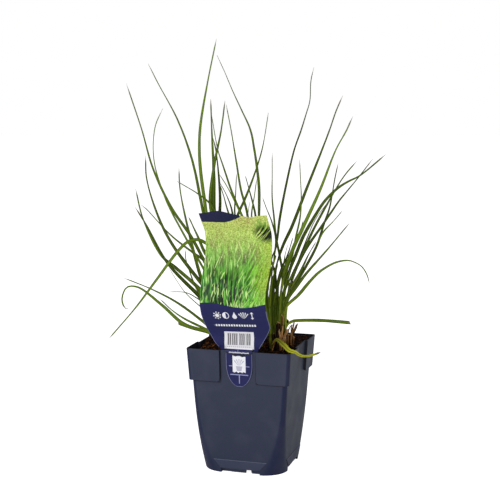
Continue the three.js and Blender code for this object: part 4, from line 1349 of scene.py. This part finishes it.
def rounded_square(half, radius, height, steps=8):
    ring = []
    for quarter in range(4):
        turned = Matrix.Rotation(quarter * math.pi / 2, 3, "Z")
        for step in range(steps + 1):
            turn = step / steps * math.pi / 2
            x = half - radius + radius * math.cos(turn)
            y = half - radius + radius * math.sin(turn)
            ring.append(turned @ Vector((x, y, height)))
    return ring


def place_ring(form, ring):
    """Moves the selected corners of a form to the corners of a ring."""
    numbers = form.data.attributes["ring_place"].data
    for vertex in form.data.vertices:
        if vertex.select:
            vertex.co = ring[round(numbers[vertex.index].value)] * MM


def ring_form(rings):
    """A closed form: a filled circle that is extruded through the rings."""
    bpy.ops.object.select_all(action="DESELECT")
    bpy.ops.mesh.primitive_circle_add(vertices=len(rings[0]), radius=1, fill_type="NGON")
    form = bpy.context.object
    write_attribute(form, "ring_place", list(map(float, range(len(rings[0])))))
    place_ring(form, rings[0])
    open_for_edit(form, "FACE", lambda face: True)
    for ring in rings[1:]:
        bpy.ops.mesh.extrude_region_move()
        close_edit()
        place_ring(form, ring)
        bpy.ops.object.mode_set(mode="EDIT")
    close_edit()
    tidy_normals(form)
    return form


def add_block(lowest, highest):
    lowest = Vector(lowest) * MM
    highest = Vector(highest) * MM
    bpy.ops.object.select_all(action="DESELECT")
    bpy.ops.mesh.primitive_cube_add(size=1, location=(lowest + highest) / 2, scale=highest - lowest)
    bpy.ops.object.transform_apply(location=True, rotation=True, scale=True)
    return bpy.context.object


def combine(piece, tool, operation):
    """Joins a tool to a piece, or cuts it out, and removes the tool."""
    apply_modifier(piece, "BOOLEAN", operation=operation, object=tool, solver="EXACT")
    bpy.data.objects.remove(tool)


def turned_copy(form, quarters):
    copy = copy_of(form)
    copy.data.transform(Matrix.Rotation(quarters * math.pi / 2, 4, "Z"))
    return copy


def on_four_sides(form):
    return join_as("four_sides", [form, *(turned_copy(form, quarters) for quarters in (1, 2, 3))])


# %% Body, foot plates and rim bands
FOOT_PLATE_TOP = 14
FOOT_PLATE_WIDTH = 57
FOOT_PLATE_STEP = 0.4
BODY_RINGS = (5, 10, 15, 20, 26, 32, 40, 48, 60, CORNERS_OPEN_AT)
arch_half = ARCH_WIDTH / 2


def flat_form(outline, near, far):
    """A block whose outline is drawn on the front, between two depths."""
    return ring_form([[Vector((x, y, z)) for x, z in outline] for y in (far, near)])


def foot_plate():
    """An upright plate on the foot of the front wall, which tapers behind it."""
    face = wall_half_at(FOOT_PLATE_TOP) + FOOT_PLATE_STEP
    top = FOOT_PLATE_WIDTH / 2
    outline = [
        (-arch_half, FLOOR_UNDER), (arch_half, FLOOR_UNDER),
        (top, FOOT_PLATE_TOP), (-top, FOOT_PLATE_TOP),
    ]
    return flat_form(outline, -face, WALL - face)


def pot_body(inset, bottom, top):
    between = [height for height in BODY_RINGS if height > bottom]
    return ring_form([
        rounded_square(wall_half_at(height) - inset, corner_radius_at(height) - inset, height)
        for height in (bottom, *between, top)
    ])


def rim_bands(inset, bottom, top):
    """The proud bands at the corners. Their lower corners beside each gap are rounded."""
    bands = ring_form([
        rounded_square(wall_half_at(height) + BAND_STEP - inset, RIM_CORNER - inset, height)
        for height in (bottom, top)
    ])
    middle = RECESS_WIDTH / 2 + inset
    right_side = [(middle, top + 1), (middle, bottom + BAND_CORNER)]
    for turn in map(math.radians, (18, 36, 54, 72, 90)):
        side = middle + BAND_CORNER * (1 - math.cos(turn))
        right_side.append((side, bottom + BAND_CORNER * (1 - math.sin(turn))))
    right_side.append((middle + BAND_CORNER, bottom - 1))
    outline = [*((-x, z) for x, z in reversed(right_side)), *right_side]
    gap = flat_form(outline, -2 * RIM_HALF, 2 * RIM_HALF)
    gap_across = turned_copy(gap, 1)
    combine(bands, gap, "DIFFERENCE")
    combine(bands, gap_across, "DIFFERENCE")
    return bands


band_foot = POT_HEIGHT - BAND_HEIGHT
floor_top = FLOOR_UNDER + WALL
pot = pot_body(0, 0, POT_HEIGHT)
combine(pot, on_four_sides(foot_plate()), "UNION")
combine(pot, rim_bands(0, band_foot, POT_HEIGHT), "UNION")
room = pot_body(WALL, floor_top, POT_HEIGHT + 1)
combine(room, rim_bands(WALL, band_foot + WALL, POT_HEIGHT + 1), "UNION")
combine(pot, room, "DIFFERENCE")
print("pot body:", len(pot.data.polygons), "faces")

# %% Arches
LAP = 1  # how far a cutting block or a joint reaches past what it meets
channel = add_block((-arch_half, -RIM_HALF, -LAP), (arch_half, RIM_HALF, FLOOR_UNDER))
channel_across = turned_copy(channel, 1)
combine(pot, channel, "DIFFERENCE")
combine(pot, channel_across, "DIFFERENCE")
print("pot with arches:", len(pot.data.polygons), "faces")

# %% Skirts in the arches
SKIRT_BEHIND = 1.8  # from the foot of the wall to the face of the skirt
SKIRT_LIFT = 0.8
SET_BACK = 0.7
skirt_front = SKIRT_BEHIND - BASE_HALF
skirt = add_block(
    (-arch_half - LAP, skirt_front, SKIRT_LIFT),
    (arch_half + LAP, skirt_front + WALL, FLOOR_UNDER + 0.5),
)
set_back = add_block(
    (-arch_half + LAP, skirt_front - LAP, 0),
    (-10, skirt_front + SET_BACK, FLOOR_UNDER - 0.3),
)
combine(skirt, set_back, "DIFFERENCE")
combine(pot, on_four_sides(skirt), "UNION")
print("with skirts:", len(pot.data.polygons), "faces")

# %% Drain notches and slots
NOTCH_MIDDLE = 8.6
NOTCH_FOOT_HALF = 3.4
NOTCH_TOP_HALF = 2.2
NOTCH_DEPTHS = (-50, -38)
DRAIN_HALF = 7
DRAIN_DEPTHS = (-34, -30)
notch_outline = [
    (NOTCH_MIDDLE - NOTCH_FOOT_HALF, -LAP), (NOTCH_MIDDLE + NOTCH_FOOT_HALF, -LAP),
    (NOTCH_MIDDLE + NOTCH_TOP_HALF, FLOOR_UNDER), (NOTCH_MIDDLE - NOTCH_TOP_HALF, FLOOR_UNDER),
]
notch = flat_form(notch_outline, *NOTCH_DEPTHS)
drain_slot = add_block(
    (NOTCH_MIDDLE - DRAIN_HALF, DRAIN_DEPTHS[0], -LAP),
    (NOTCH_MIDDLE + DRAIN_HALF, DRAIN_DEPTHS[1], floor_top + LAP),
)
combine(pot, on_four_sides(join_as("drain", [notch, drain_slot])), "DIFFERENCE")
print("pot with feet:", len(pot.data.polygons), "faces")

# %% Clean faces and broken edges
EDGE_BREAK = 0.35
open_for_edit(pot, "FACE", lambda face: True)
bpy.ops.mesh.remove_doubles(threshold=0.01 * MM)
bpy.ops.mesh.dissolve_limited(angle_limit=math.radians(0.5))
close_edit()
apply_modifier(
    pot, "BEVEL", width=EDGE_BREAK * MM, segments=2, limit_method="ANGLE",
    angle_limit=math.radians(32), use_clamp_overlap=True,
)
pot.name = "moulded_pot"
pot.data.name = "moulded_pot"
pick(pot)
bpy.ops.object.shade_smooth_by_angle(angle=math.radians(38))
apply_modifier(pot, "WEIGHTED_NORMAL", keep_sharp=True)
print("moulded pot:", len(pot.data.polygons), "faces")

# %% [markdown]
# ### Pot finish
# The plastic is dark blue-grey with a soft satin sheen, a little lighter towards the rim, with a very
# fine grain and faint dust. Light and shade are painted into its colour as well: painted shade makes
# the round corners darker and bluer, painted light brightens the plates at the foot with a painted
# highlight along their top edge, and dark painted shade lies on the sides and undersides of the bands,
# in lines beside and under them, in the recess between them, inside the walls, on the far rim and at
# the far feet. A flat colour would look like paint, so place, slope and dust each shift the colour a
# little.

# %% Pot plastic: base, dust, and painted shade and light on corners and foot plates
pot_plastic, w, shader = new_material("pot_plastic")
dust = w.group(mottle, Patch_size_mm=24.0, Grain_size_mm=0.45)
in_metres = w.add("TexCoord", out="Object")
place = w.add("VectorMath", settings={"operation": "SCALE"}, Vector=in_metres, Scale=1 / MM)
across, away, height = w.split(place)
look_across, look_away, look_up = w.split(w.add("NewGeometry", out="Normal"))
beside = w.absolute(across)
before = w.absolute(away)
colour = w.blend(srgb(39, 46, 69), srgb(48, 54, 75), w.scale(height, 0.0, 120.0, 0.0, 1.0))
# Painted shade: where the round corners face diagonally, the colour is made darker and bluer.
both_ways = w.absolute(w.times(look_across, look_away))
colour = w.blend(colour, srgb(16, 25, 62), w.scale(both_ways, 0.04, 0.32, 0.0, 0.9))
colour = w.blend(colour, srgb(84, 86, 98), w.scale(dust["Patches"], 0.5, 0.9, 0.0, 0.25))

# Painted light: the plates at the foot are made lighter, and a painted highlight runs along their top
# edge.
plate_face = wall_half_at(FOOT_PLATE_TOP) + FOOT_PLATE_STEP / 2
outward = w.math("MAXIMUM", beside, before)
on_plate = w.both(w.more(outward, plate_face), w.less(height, FOOT_PLATE_TOP + 0.3))
plate_highlight = w.both(on_plate, w.more(height, FOOT_PLATE_TOP - 0.5))
colour = w.blend(colour, srgb(62, 68, 92), w.times(on_plate, 0.4))
colour = w.blend(colour, srgb(104, 110, 132), w.times(plate_highlight, 0.7))
print("pot finish:", pot_plastic.name)

# %% Pot plastic: painted shade in the recess between two bands
recess_edge = RECESS_WIDTH / 2 - 0.3
into_recess = w.math("MINIMUM", beside, before)
# Painted shade: the recess on each side wall is darkened, more so higher up.
in_recess = w.both(w.less(into_recess, recess_edge), w.less(before, beside), w.more(height, band_foot))
deepening = w.scale(height, band_foot + 1, band_foot + 21, 0.2, 0.85)
colour = w.blend(colour, srgb(22, 28, 50), w.times(in_recess, deepening))
print("shaded recess:", 2 * recess_edge, "mm wide")

# %% Pot plastic: painted shade
SHADE_LINE_HALF = 0.6  # half the width of the dark line beside and under a band
# Painted shade: the sides of the bands, faces that look down, thin lines beside and under the bands,
# the far feet, the top of the far rim and the inner walls are all darkened.
side_look = w.blend(look_away, look_across, w.more(before, beside))
step_side = w.more(w.absolute(side_look), 0.85)
underside = w.less(look_up, -0.4)
at_edge = w.in_range(into_recess, recess_edge - SHADE_LINE_HALF, recess_edge + SHADE_LINE_HALF)
beside_band = w.both(at_edge, w.more(height, band_foot - 0.5))
below_band = w.in_range(height, band_foot - 2 * SHADE_LINE_HALF, band_foot)
under_band = w.both(below_band, w.more(into_recess, recess_edge))
far_foot = w.both(w.scale(height, 9.0, 15.0, 1.0, 0.0), w.more(away, 30.0))
far_side = w.math("MAXIMUM", away, w.times(across, -1.0))
far_rim = w.both(w.more(look_up, 0.5), w.more(far_side, 48.0))
outward_look = w.plus(w.times(look_across, across), w.times(look_away, away))
inner_wall = w.less(outward_look, -25.0)
shade = w.either(step_side, underside, beside_band, under_band, far_foot, far_rim, inner_wall)
colour = w.blend(colour, srgb(12, 15, 25), w.times(shade, 0.8))
w.put(shader["Base Color"], colour)
w.put(shader["Roughness"], w.scale(dust["Patches"], 0.3, 0.7, 0.42, 0.56))
w.put(shader["Normal"], w.bump(dust["Grain"], 0.25, 0.12))
shader["Specular IOR Level"].default_value = 0.3
give_material(pot, pot_plastic)
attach(pot, "root")
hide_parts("pot")
print("pot stands", POT_HEIGHT, "mm high")

# %% [markdown]
# ## Plant label
# The label is one thin printed plastic sheet, pushed into the mix behind the front wall. A tongue
# is punched out of it and hooks over the rim. The sheet waves forward and back, and its edges
# taper to the waist. A grid is laid along that wave, the slot of the tongue is deleted from it, and
# Solidify gives it a thickness and a white back.

# %% Side view and edges of the sheet
LABEL_HALF = 34.5
LABEL_THICKNESS = 0.6
TONGUE_WIDTH = 27.5
TONGUE_ROOT = 133
TONGUE_FOOT = 93
TONGUE_ROUND = 23  # how high the round foot of the tongue reaches
STAKE_FOOT = 75
LIFTED_FROM = 259  # above this height the sheet follows its curved top edge
LABEL_TOP = 269.5


def tail_plane_at(height):
    return -(wall_half_at(height) - WALL - GAP - LABEL_THICKNESS / 2)


def tongue_plane_at(height):
    return -(wall_half_at(height) + GAP + LABEL_THICKNESS / 2 + 0.2)


LABEL_SIDE = [
    *((tail_plane_at(height), height) for height in (STAKE_FOOT, 84, 96, 110, 124, 132)),
    (-52.8, 137), (-54.4, 146), (-61.5, 157.5), (-71, 171), (-75.5, 182), (-74.5, 192), (-69, 203),
    (-60, 216), (-54, 230), (-53.5, 241), (-56.2, 250.5), (-65.4, 260.6), (-74, LABEL_TOP),
]
TONGUE_SIDE = [
    *((tongue_plane_at(height), height) for height in (93.2, 101, 110, 120, 128.5)),
    (-53.1, 130.4), (-52.2, 131.2), (-50.95, TONGUE_ROOT),
]
LABEL_EDGES = [
    (STAKE_FOOT, 5, 5), (85, 18, 18), (129, 18, 18), (130, 19, 18.5), (139, 26, 24.5), (148, 30.5, 30),
    (157, 33, 35), (168, 34.3, 34.5), (180, 34.5, 34.5), (300, 34.5, 34.5),
]


def label_edges_at(height):
    """How far the left and right edges are from the middle at a height."""
    for (low, *low_edges), (high, *high_edges) in zip(LABEL_EDGES, LABEL_EDGES[1:]):
        if height <= high:
            part = part_way(low, high, height)
            return [mix(first, second, part) for first, second in zip(low_edges, high_edges)]
    return LABEL_EDGES[-1][1:]


def tongue_edges_at(height):
    """Round at its foot and straight above it."""
    down = min(1, max(0.02, (height - TONGUE_FOOT) / TONGUE_ROUND))
    half = TONGUE_WIDTH / 2 * math.sqrt(1 - (1 - down) ** 2)
    return half, half


def label_turn_at(height):
    """The belly is turned a little, with its right edge further forward."""
    return -3.5 * math.exp(-((height - 192) / 17) ** 2)


def top_edge_lift(across):
    """The top edge rises in an arch over the left part and dips before the right corner."""
    x = across * LABEL_HALF
    return 4.6 * math.exp(-((x + 15) / 12) ** 2) - 3.2 * math.exp(-((x - 16) / 11) ** 2)


# %% Laying a sheet along its side view
SHEET_COLUMNS = 28
SHEET_ROWS = 126
TONGUE_COLUMNS = 14
TONGUE_ROWS = 40
SLOT_HALF = TONGUE_WIDTH / 2 + 0.3
SLOT_FOOT = 95
SLOT_COLUMNS = 6 / 14  # the share of the sheet's columns that keep to the slot


def sideways_at(across, edge, slot_half):
    """Columns keep to the slot's edges inside and spread to the sheet's edge outside."""
    part = abs(across)
    if slot_half is None or part <= SLOT_COLUMNS:
        return part * edge if slot_half is None else part / SLOT_COLUMNS * slot_half
    return mix(slot_half, edge, (part - SLOT_COLUMNS) / (1 - SLOT_COLUMNS))


def lay_sheet(side, edges_at, columns, rows, slot_half=None, is_label=True):
    """A grid laid along a side view from its foot up, with its place in the print stored."""
    sheet = add_strip(columns, rows)
    curve = SmoothCurve([(0, *point) for point in side], place=Vector)
    laid = [curve.at(row / rows) for row in range(rows + 1)]
    print_x, print_z, to_edge = [], [], []
    for vertex in sheet.data.vertices:
        across = vertex.co.x
        row = round((vertex.co.y + 1) / 2 * rows)
        here, along = laid[row]
        edge = edges_at(here.z)[0 if across < 0 else 1]
        sideways = sideways_at(across, edge, min(slot_half, edge * 0.8) if slot_half else None)
        x = LABEL_MIDDLE + math.copysign(sideways, across)
        place = Vector((x, here.y, here.z))
        if is_label:
            place += along * top_edge_lift(across) * part_way(LIFTED_FROM, LABEL_TOP, here.z)
            place.y += across * label_turn_at(here.z)
        vertex.co = place * MM
        print_x.append(x)
        print_z.append(place.z)
        remaining = (1 - row / rows) * curve.length if is_label else row / rows * curve.length
        to_edge.append(min(edge - sideways, remaining))
    write_attribute(sheet, "print_x", print_x)
    write_attribute(sheet, "print_z", print_z)
    write_attribute(sheet, "edge_mm", to_edge)
    return sheet


def is_in_slot(face):
    """The sheet is open where its tongue was punched out."""
    centre = face.center / MM
    return abs(centre.x - LABEL_MIDDLE) < SLOT_HALF and SLOT_FOOT < centre.z < TONGUE_ROOT


sheet = lay_sheet(LABEL_SIDE, label_edges_at, SHEET_COLUMNS, SHEET_ROWS, slot_half=SLOT_HALF)
open_for_edit(sheet, "FACE", is_in_slot)
bpy.ops.mesh.delete(type="FACE")
close_edit()
tongue = lay_sheet(TONGUE_SIDE, tongue_edges_at, TONGUE_COLUMNS, TONGUE_ROWS, is_label=False)
print("sheet:", len(sheet.data.polygons), "faces, tongue:", len(tongue.data.polygons), "faces")

# %% [markdown]
# ### Print on the label
# A printed sheet could carry a picture file. Here the print is drawn by the shader from each
# point's place on the sheet, in millimetres: a dark blue ground, a field of grass above a curved
# border, plain care signs in place of a title, and a panel of even bars. Nothing is lettering.

# %% Shapes for printing


def sun_sign(w, x, z):
    """A disc with eight short rays."""
    away = w.distance(x, z)
    angle = w.math("DIVIDE", w.math("ARCTAN2", z, x), 2 * math.pi / 8)
    rays = w.both(w.in_range(away, 2.7, 4.1), w.in_range(w.math("FRACT", angle), 0.0, 0.42))
    return w.either(w.less(away, 2.0), rays)


def half_sun_sign(w, x, z):
    """A ring whose left half is filled."""
    away = w.distance(x, z)
    return w.either(w.in_range(away, 2.9, 3.6), w.both(w.less(away, 3.0), w.less(x, 0.0)))


def drop_sign(w, x, z):
    """A drop of water: a round foot under a point."""
    foot = w.less(w.distance(x, w.plus(z, 1.2)), 2.4)
    slope = w.times(w.minus(4.0, z), 0.46)
    point = w.both(w.less(w.absolute(x), slope), w.in_range(z, -0.2, 4.0))
    return w.either(foot, point)


def tuft_sign(w, x, z):
    """Five blades that fan out of one foot."""
    up = w.plus(z, 4.0)
    angle = w.math("ARCTAN2", x, up)
    blades = w.in_range(w.math("FRACT", w.plus(w.math("DIVIDE", angle, 0.34), 0.5)), 0.28, 0.72)
    return w.both(blades, w.in_range(angle, -0.8, 0.8), w.in_range(w.distance(x, up), 1.0, 7.8))


def height_sign(w, x, z):
    """An upright arrow with a head at both ends."""
    shaft = w.both(w.in_range(x, -0.45, 0.45), w.in_range(z, -3.2, 3.2))
    up = w.absolute(z)
    slope = w.times(w.minus(4.2, up), 0.9)
    return w.either(shaft, w.both(w.less(w.absolute(x), slope), w.in_range(up, 2.2, 4.2)))


# %% Ground colour and cut edges, shared by both prints
sheet_ink, w, given, result = new_group(
    "sheet_ink",
    {"Ground": ("Color", srgb(28, 31, 84)), "Edge": ("Color", srgb(116, 118, 152))},
    {"Ink": ("Color", None), "Roughness": ("Float", None)},
)
wear = w.group(mottle, Patch_size_mm=14.0, Grain_size_mm=0.5)
z = w.attribute("print_z")
off_root = w.minus(1.0, w.in_range(z, 128.8, 133.5))
near_edge = w.both(w.less(w.attribute("edge_mm"), 0.5), w.less(z, 176.0), off_root)
ground = w.blend(given["Ground"], srgb(40, 42, 98), w.scale(wear["Patches"], 0.5, 0.8, 0.0, 0.5))
w.put(result["Ink"], w.blend(ground, given["Edge"], near_edge))
w.put(result["Roughness"], w.scale(wear["Patches"], 0.35, 0.65, 0.44, 0.54))
print("node group:", sheet_ink.name)

# %% A printed finish


def new_print(name):
    """A finish on the shared ink, and each point's place on the sheet in millimetres."""
    material, w, shader = new_material(name)
    ink = w.group(sheet_ink)
    w.put(shader["Roughness"], ink["Roughness"])
    shader["Specular IOR Level"].default_value = 0.25
    x = w.minus(w.attribute("print_x"), LABEL_MIDDLE)
    return material, w, shader["Base Color"], ink["Ink"], x, w.attribute("print_z")


# %% [markdown]
# ### The printed grass
# The picture is many blades that cross each other. One stretched noise would give waves and swirls,
# so layers of pale and dark straight streaks are laid over each other, each slid sideways with
# height so that its blades lean left, stand up or lean right. Dark gaps go low on the left, the
# right side is sunlit, and the colour pales to hay upwards.

# %% Printed grass
label_print, w, printed, ink, x, z = new_print("label_print")


def blades(lean, across_per_mm, along_per_mm, seed, low, high):
    """A mask of straight streaks that all lean one way."""
    slid = w.minus(x, w.times(w.minus(z, 178.0), lean))
    place = w.add(
        "CombineXYZ",
        X=w.times(slid, across_per_mm),
        Y=w.times(z, along_per_mm),
        Z=seed,
    )
    streaks = w.add("TexNoise", Vector=place, Scale=1.0, Detail=1.5, Roughness=0.55)
    return w.scale(streaks, low, high, 0.0, 1.0)


def near(middle_x, middle_z, half_x, half_z):
    """1 at a place on the sheet, fading to 0 at the edge of an oval round it."""
    aside = w.math("DIVIDE", w.minus(x, middle_x), half_x)
    above = w.math("DIVIDE", w.minus(z, middle_z), half_z)
    return w.scale(w.distance(aside, above), 0.5, 1.0, 1.0, 0.0)


to_left = w.scale(x, 6.0, -24.0, 0.15, 1.0)
to_right = w.scale(x, -6.0, 18.0, 0.1, 1.0)
upwards = w.scale(z, 204.0, 260.0, 0.0, 1.0)
squat = w.add("CombineXYZ", X=x, Y=w.times(z, 0.5))
broad = w.add("TexNoise", Vector=squat, Scale=0.11, Detail=2.0)
grass = w.blend(srgb(8, 52, 12), srgb(48, 116, 34), w.scale(broad, 0.38, 0.6, 0.0, 1.0))
grass = w.blend(grass, srgb(76, 160, 48), blades(-0.04, 0.34, 0.05, 2.0, 0.47, 0.53))
standing = w.times(blades(-0.04, 0.42, 0.045, 11.0, 0.53, 0.57), 0.9)
grass = w.blend(grass, srgb(104, 190, 62), standing)
leftward = w.times(blades(-0.26, 0.4, 0.05, 17.0, 0.56, 0.6), to_left)
grass = w.blend(grass, srgb(128, 196, 78), leftward)
rightward = w.times(blades(0.34, 0.4, 0.05, 23.0, 0.54, 0.58), to_right)
grass = w.blend(grass, srgb(116, 206, 60), rightward)
steep = w.both(blades(0.72, 0.5, 0.08, 29.0, 0.54, 0.58), to_right)
grass = w.blend(grass, srgb(168, 226, 104), w.times(steep, w.scale(z, 226.0, 196.0, 0.0, 1.0)))
print("grass: its blades stand, lean left and lean right")

# %% Dark gaps, fine light and places in the picture
dark_left = w.times(blades(-0.2, 0.5, 0.06, 47.0, 0.47, 0.43), to_left)
dark_right = w.times(blades(0.4, 0.5, 0.06, 53.0, 0.46, 0.42), to_right)
grass = w.blend(grass, srgb(6, 44, 8), w.times(w.either(dark_left, dark_right), 0.85))
gaps = w.both(near(-8.0, 190.0, 24.0, 30.0), blades(-0.06, 0.4, 0.03, 7.0, 0.53, 0.48))
grass = w.blend(grass, srgb(10, 18, 5), w.times(gaps, 0.95))
fine_left = blades(-0.16, 0.62, 0.07, 31.0, 0.62, 0.66)
fine_right = blades(0.3, 0.62, 0.07, 37.0, 0.63, 0.67)
grass = w.blend(grass, srgb(206, 240, 146), w.times(w.either(fine_left, fine_right), 0.95))
on_sheet = w.add("CombineXYZ", X=x, Y=z, Z=3.0)
speckle = w.add("TexNoise", Vector=on_sheet, Scale=0.75, Detail=3.0, Roughness=0.7)
hay = w.blend(srgb(170, 184, 74), srgb(244, 252, 146), w.scale(speckle, 0.4, 0.54, 0.0, 1.0))
grass = w.blend(grass, hay, w.times(w.math("POWER", upwards, 1.5), 0.86))
sunny = w.both(w.scale(x, 14.0, 34.0, 0.0, 0.72), near(31.0, 218.0, 24.0, 42.0))
sunlit = w.blend(srgb(138, 176, 36), srgb(204, 226, 84), w.scale(speckle, 0.42, 0.56, 0.0, 1.0))
grass = w.blend(grass, sunlit, sunny)
tuft = w.both(near(27.0, 259.0, 9.0, 8.0), blades(0.3, 0.6, 0.12, 59.0, 0.62, 0.4))
grass = w.blend(grass, srgb(66, 168, 38), tuft)
tangle = w.both(near(28.0, 250.0, 14.0, 11.0), blades(0.9, 0.5, 0.05, 43.0, 0.6, 0.54))
grass = w.blend(grass, srgb(16, 26, 10), tangle)
pale_curl = w.both(near(10.0, 263.0, 14.0, 6.0), blades(6.0, 0.3, 0.9, 61.0, 0.52, 0.58))
grass = w.blend(grass, srgb(176, 132, 96), w.times(pale_curl, 0.8))
print("picture drawn by:", label_print.name)

# %% Borders of the picture
wave = w.math("COSINE", w.times(w.minus(x, 8.5), 0.0975))
right_rise = w.math("POWER", w.math("MAXIMUM", w.minus(x, 9.0), 0.0), 2.0)
border = w.minus(180.0, w.times(wave, 1.65))
border = w.plus(border, w.times(right_rise, 0.0033))
lens_part = w.math("POWER", w.scale(x, -12.0, 7.0, 0.0, 1.0), 1.5)
lens_foot = w.plus(261.0, w.times(lens_part, 6.3))
in_lens = w.both(w.more(z, lens_foot), w.less(x, 7.0))
in_picture = w.both(w.more(z, border), w.minus(1.0, in_lens))
print("picture borders: a curve below and a lens above")

# %% Signs and bars
signs = [
    (-17.5, sun_sign), (-8.5, half_sun_sign), (0.7, drop_sign), (10.2, tuft_sign), (19.0, height_sign),
]
level = w.minus(z, w.times(x, 0.04))
sign_height = w.minus(level, 169.4)
white = w.either(*(sign(w, w.minus(x, middle), sign_height) for middle, sign in signs))
dash_row = w.both(w.in_range(x, -22.6, 21.4), w.in_range(level, 157.0, 159.3))
dashes = w.both(dash_row, w.stripes(x, 2.7, 0.66))
upright = w.minus(x, w.times(w.minus(z, 141.0), 0.07))
level = w.minus(z, w.times(x, 0.03))
panel = w.both(w.in_range(upright, -15.0, 15.9), w.in_range(level, 132.1, 150.9))
bar_room = w.both(w.in_range(upright, -11.8, 12.8), w.in_range(level, 136.4, 148.9))
narrow_gap = w.minus(1.0, w.stripes(w.plus(upright, 30.0), 7.3, 0.13))
bars = w.both(bar_room, narrow_gap, w.stripes(w.plus(upright, 30.0), 2.05, 0.62))
foot_row = w.both(w.in_range(upright, -14.0, 13.0), w.in_range(level, 133.9, 134.9))
bar_foot = w.both(foot_row, w.stripes(upright, 2.1, 0.6))
bars = w.either(bars, w.times(bar_foot, 0.4))
centre_line = w.both(w.in_range(x, -1.45, -0.75), w.less(z, 132.5))

colour = w.blend(ink, srgb(26, 26, 70), in_lens)
colour = w.blend(colour, grass, in_picture)
colour = w.blend(colour, srgb(240, 240, 246), w.either(white, dashes))
colour = w.blend(colour, srgb(234, 233, 238), panel)
colour = w.blend(colour, srgb(84, 80, 84), bars)
colour = w.blend(colour, srgb(120, 122, 160), centre_line)
w.put(printed, colour)
print("signs on the label:", len(signs))

# %% Print of the tongue, and the bare back
tongue_print, w, printed, ink, x, z = new_print("tongue_print")
aside = w.absolute(x)
rough = w.add("TexNoise", Vector=w.add("CombineXYZ", X=x, Y=z), Scale=0.5, Detail=3.0)
ragged = w.plus(z, w.times(w.minus(rough, 0.5), 5.0))
panel = w.both(w.less(aside, 6.8), w.in_range(ragged, 108.2, 124.6))
side_lines = w.both(w.in_range(aside, 6.8, 10.8), w.in_range(z, 114.1, 114.9))
ground_line = w.both(w.less(aside, 9.4), w.in_range(z, 105.1, 106.1))
stake_line = w.both(w.less(aside, 0.5), w.in_range(z, 96.5, 105.4))
pot_half = w.scale(z, 109.5, 114.5, 2.4, 3.4)
pot_sketch = w.both(w.less(aside, pot_half), w.in_range(z, 109.5, 114.5))
plant_sketch = tuft_sign(w, x, w.minus(z, 118.2))
colour = w.blend(ink, srgb(150, 152, 196), w.either(side_lines, ground_line, stake_line))
colour = w.blend(colour, srgb(240, 240, 246), panel)
colour = w.blend(colour, srgb(188, 186, 204), w.either(pot_sketch, plant_sketch))
bowed = w.minus(ragged, w.times(w.times(x, x), 0.006))
wavy = w.plus(z, w.times(w.minus(rough, 0.5), 1.8))
crease = w.both(w.less(aside, 10.5), w.in_range(wavy, 127.9, 129.0))
above_panel = w.both(w.less(aside, 7.4), w.in_range(ragged, 125.2, 127.4))
fold_shade = w.either(above_panel, w.in_range(bowed, 126.4, 127.3))
panel_foot = w.both(w.in_range(x, -13.6, 16.4), w.more(z, 131.7))
centre_line = w.both(w.in_range(x, -1.45, -0.75), w.in_range(z, 129.4, 131.7))
colour = w.blend(colour, srgb(24, 24, 34), fold_shade)
colour = w.blend(colour, srgb(196, 196, 210), crease)
colour = w.blend(colour, srgb(240, 239, 243), panel_foot)
colour = w.blend(colour, srgb(120, 122, 160), centre_line)
w.put(printed, colour)

bare_sheet, w, shader = new_material("bare_sheet")
wear = w.group(mottle, Patch_size_mm=18.0, Grain_size_mm=0.6)
w.put(shader["Base Color"], w.blend(srgb(228, 228, 232), srgb(206, 206, 212), wear["Patches"]))
w.put(shader["Roughness"], w.scale(wear["Grain"], 0.3, 0.7, 0.4, 0.5))
print("tongue printed by:", tongue_print.name, "and the back is", bare_sheet.name)

# %% Thickness and joining
for piece, front in ((sheet, label_print), (tongue, tongue_print)):
    give_material(piece, front, bare_sheet)
    apply_modifier(
        piece, "SOLIDIFY", thickness=LABEL_THICKNESS * MM, offset=0, use_rim=True,
        material_offset=1, material_offset_rim=0,
    )
label = join_as("printed_plant_label", [sheet, tongue])
bpy.ops.object.shade_smooth_by_angle(angle=math.radians(40))
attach(label, "root")
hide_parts("plant_label")
print("label:", len(label.data.polygons), "faces")
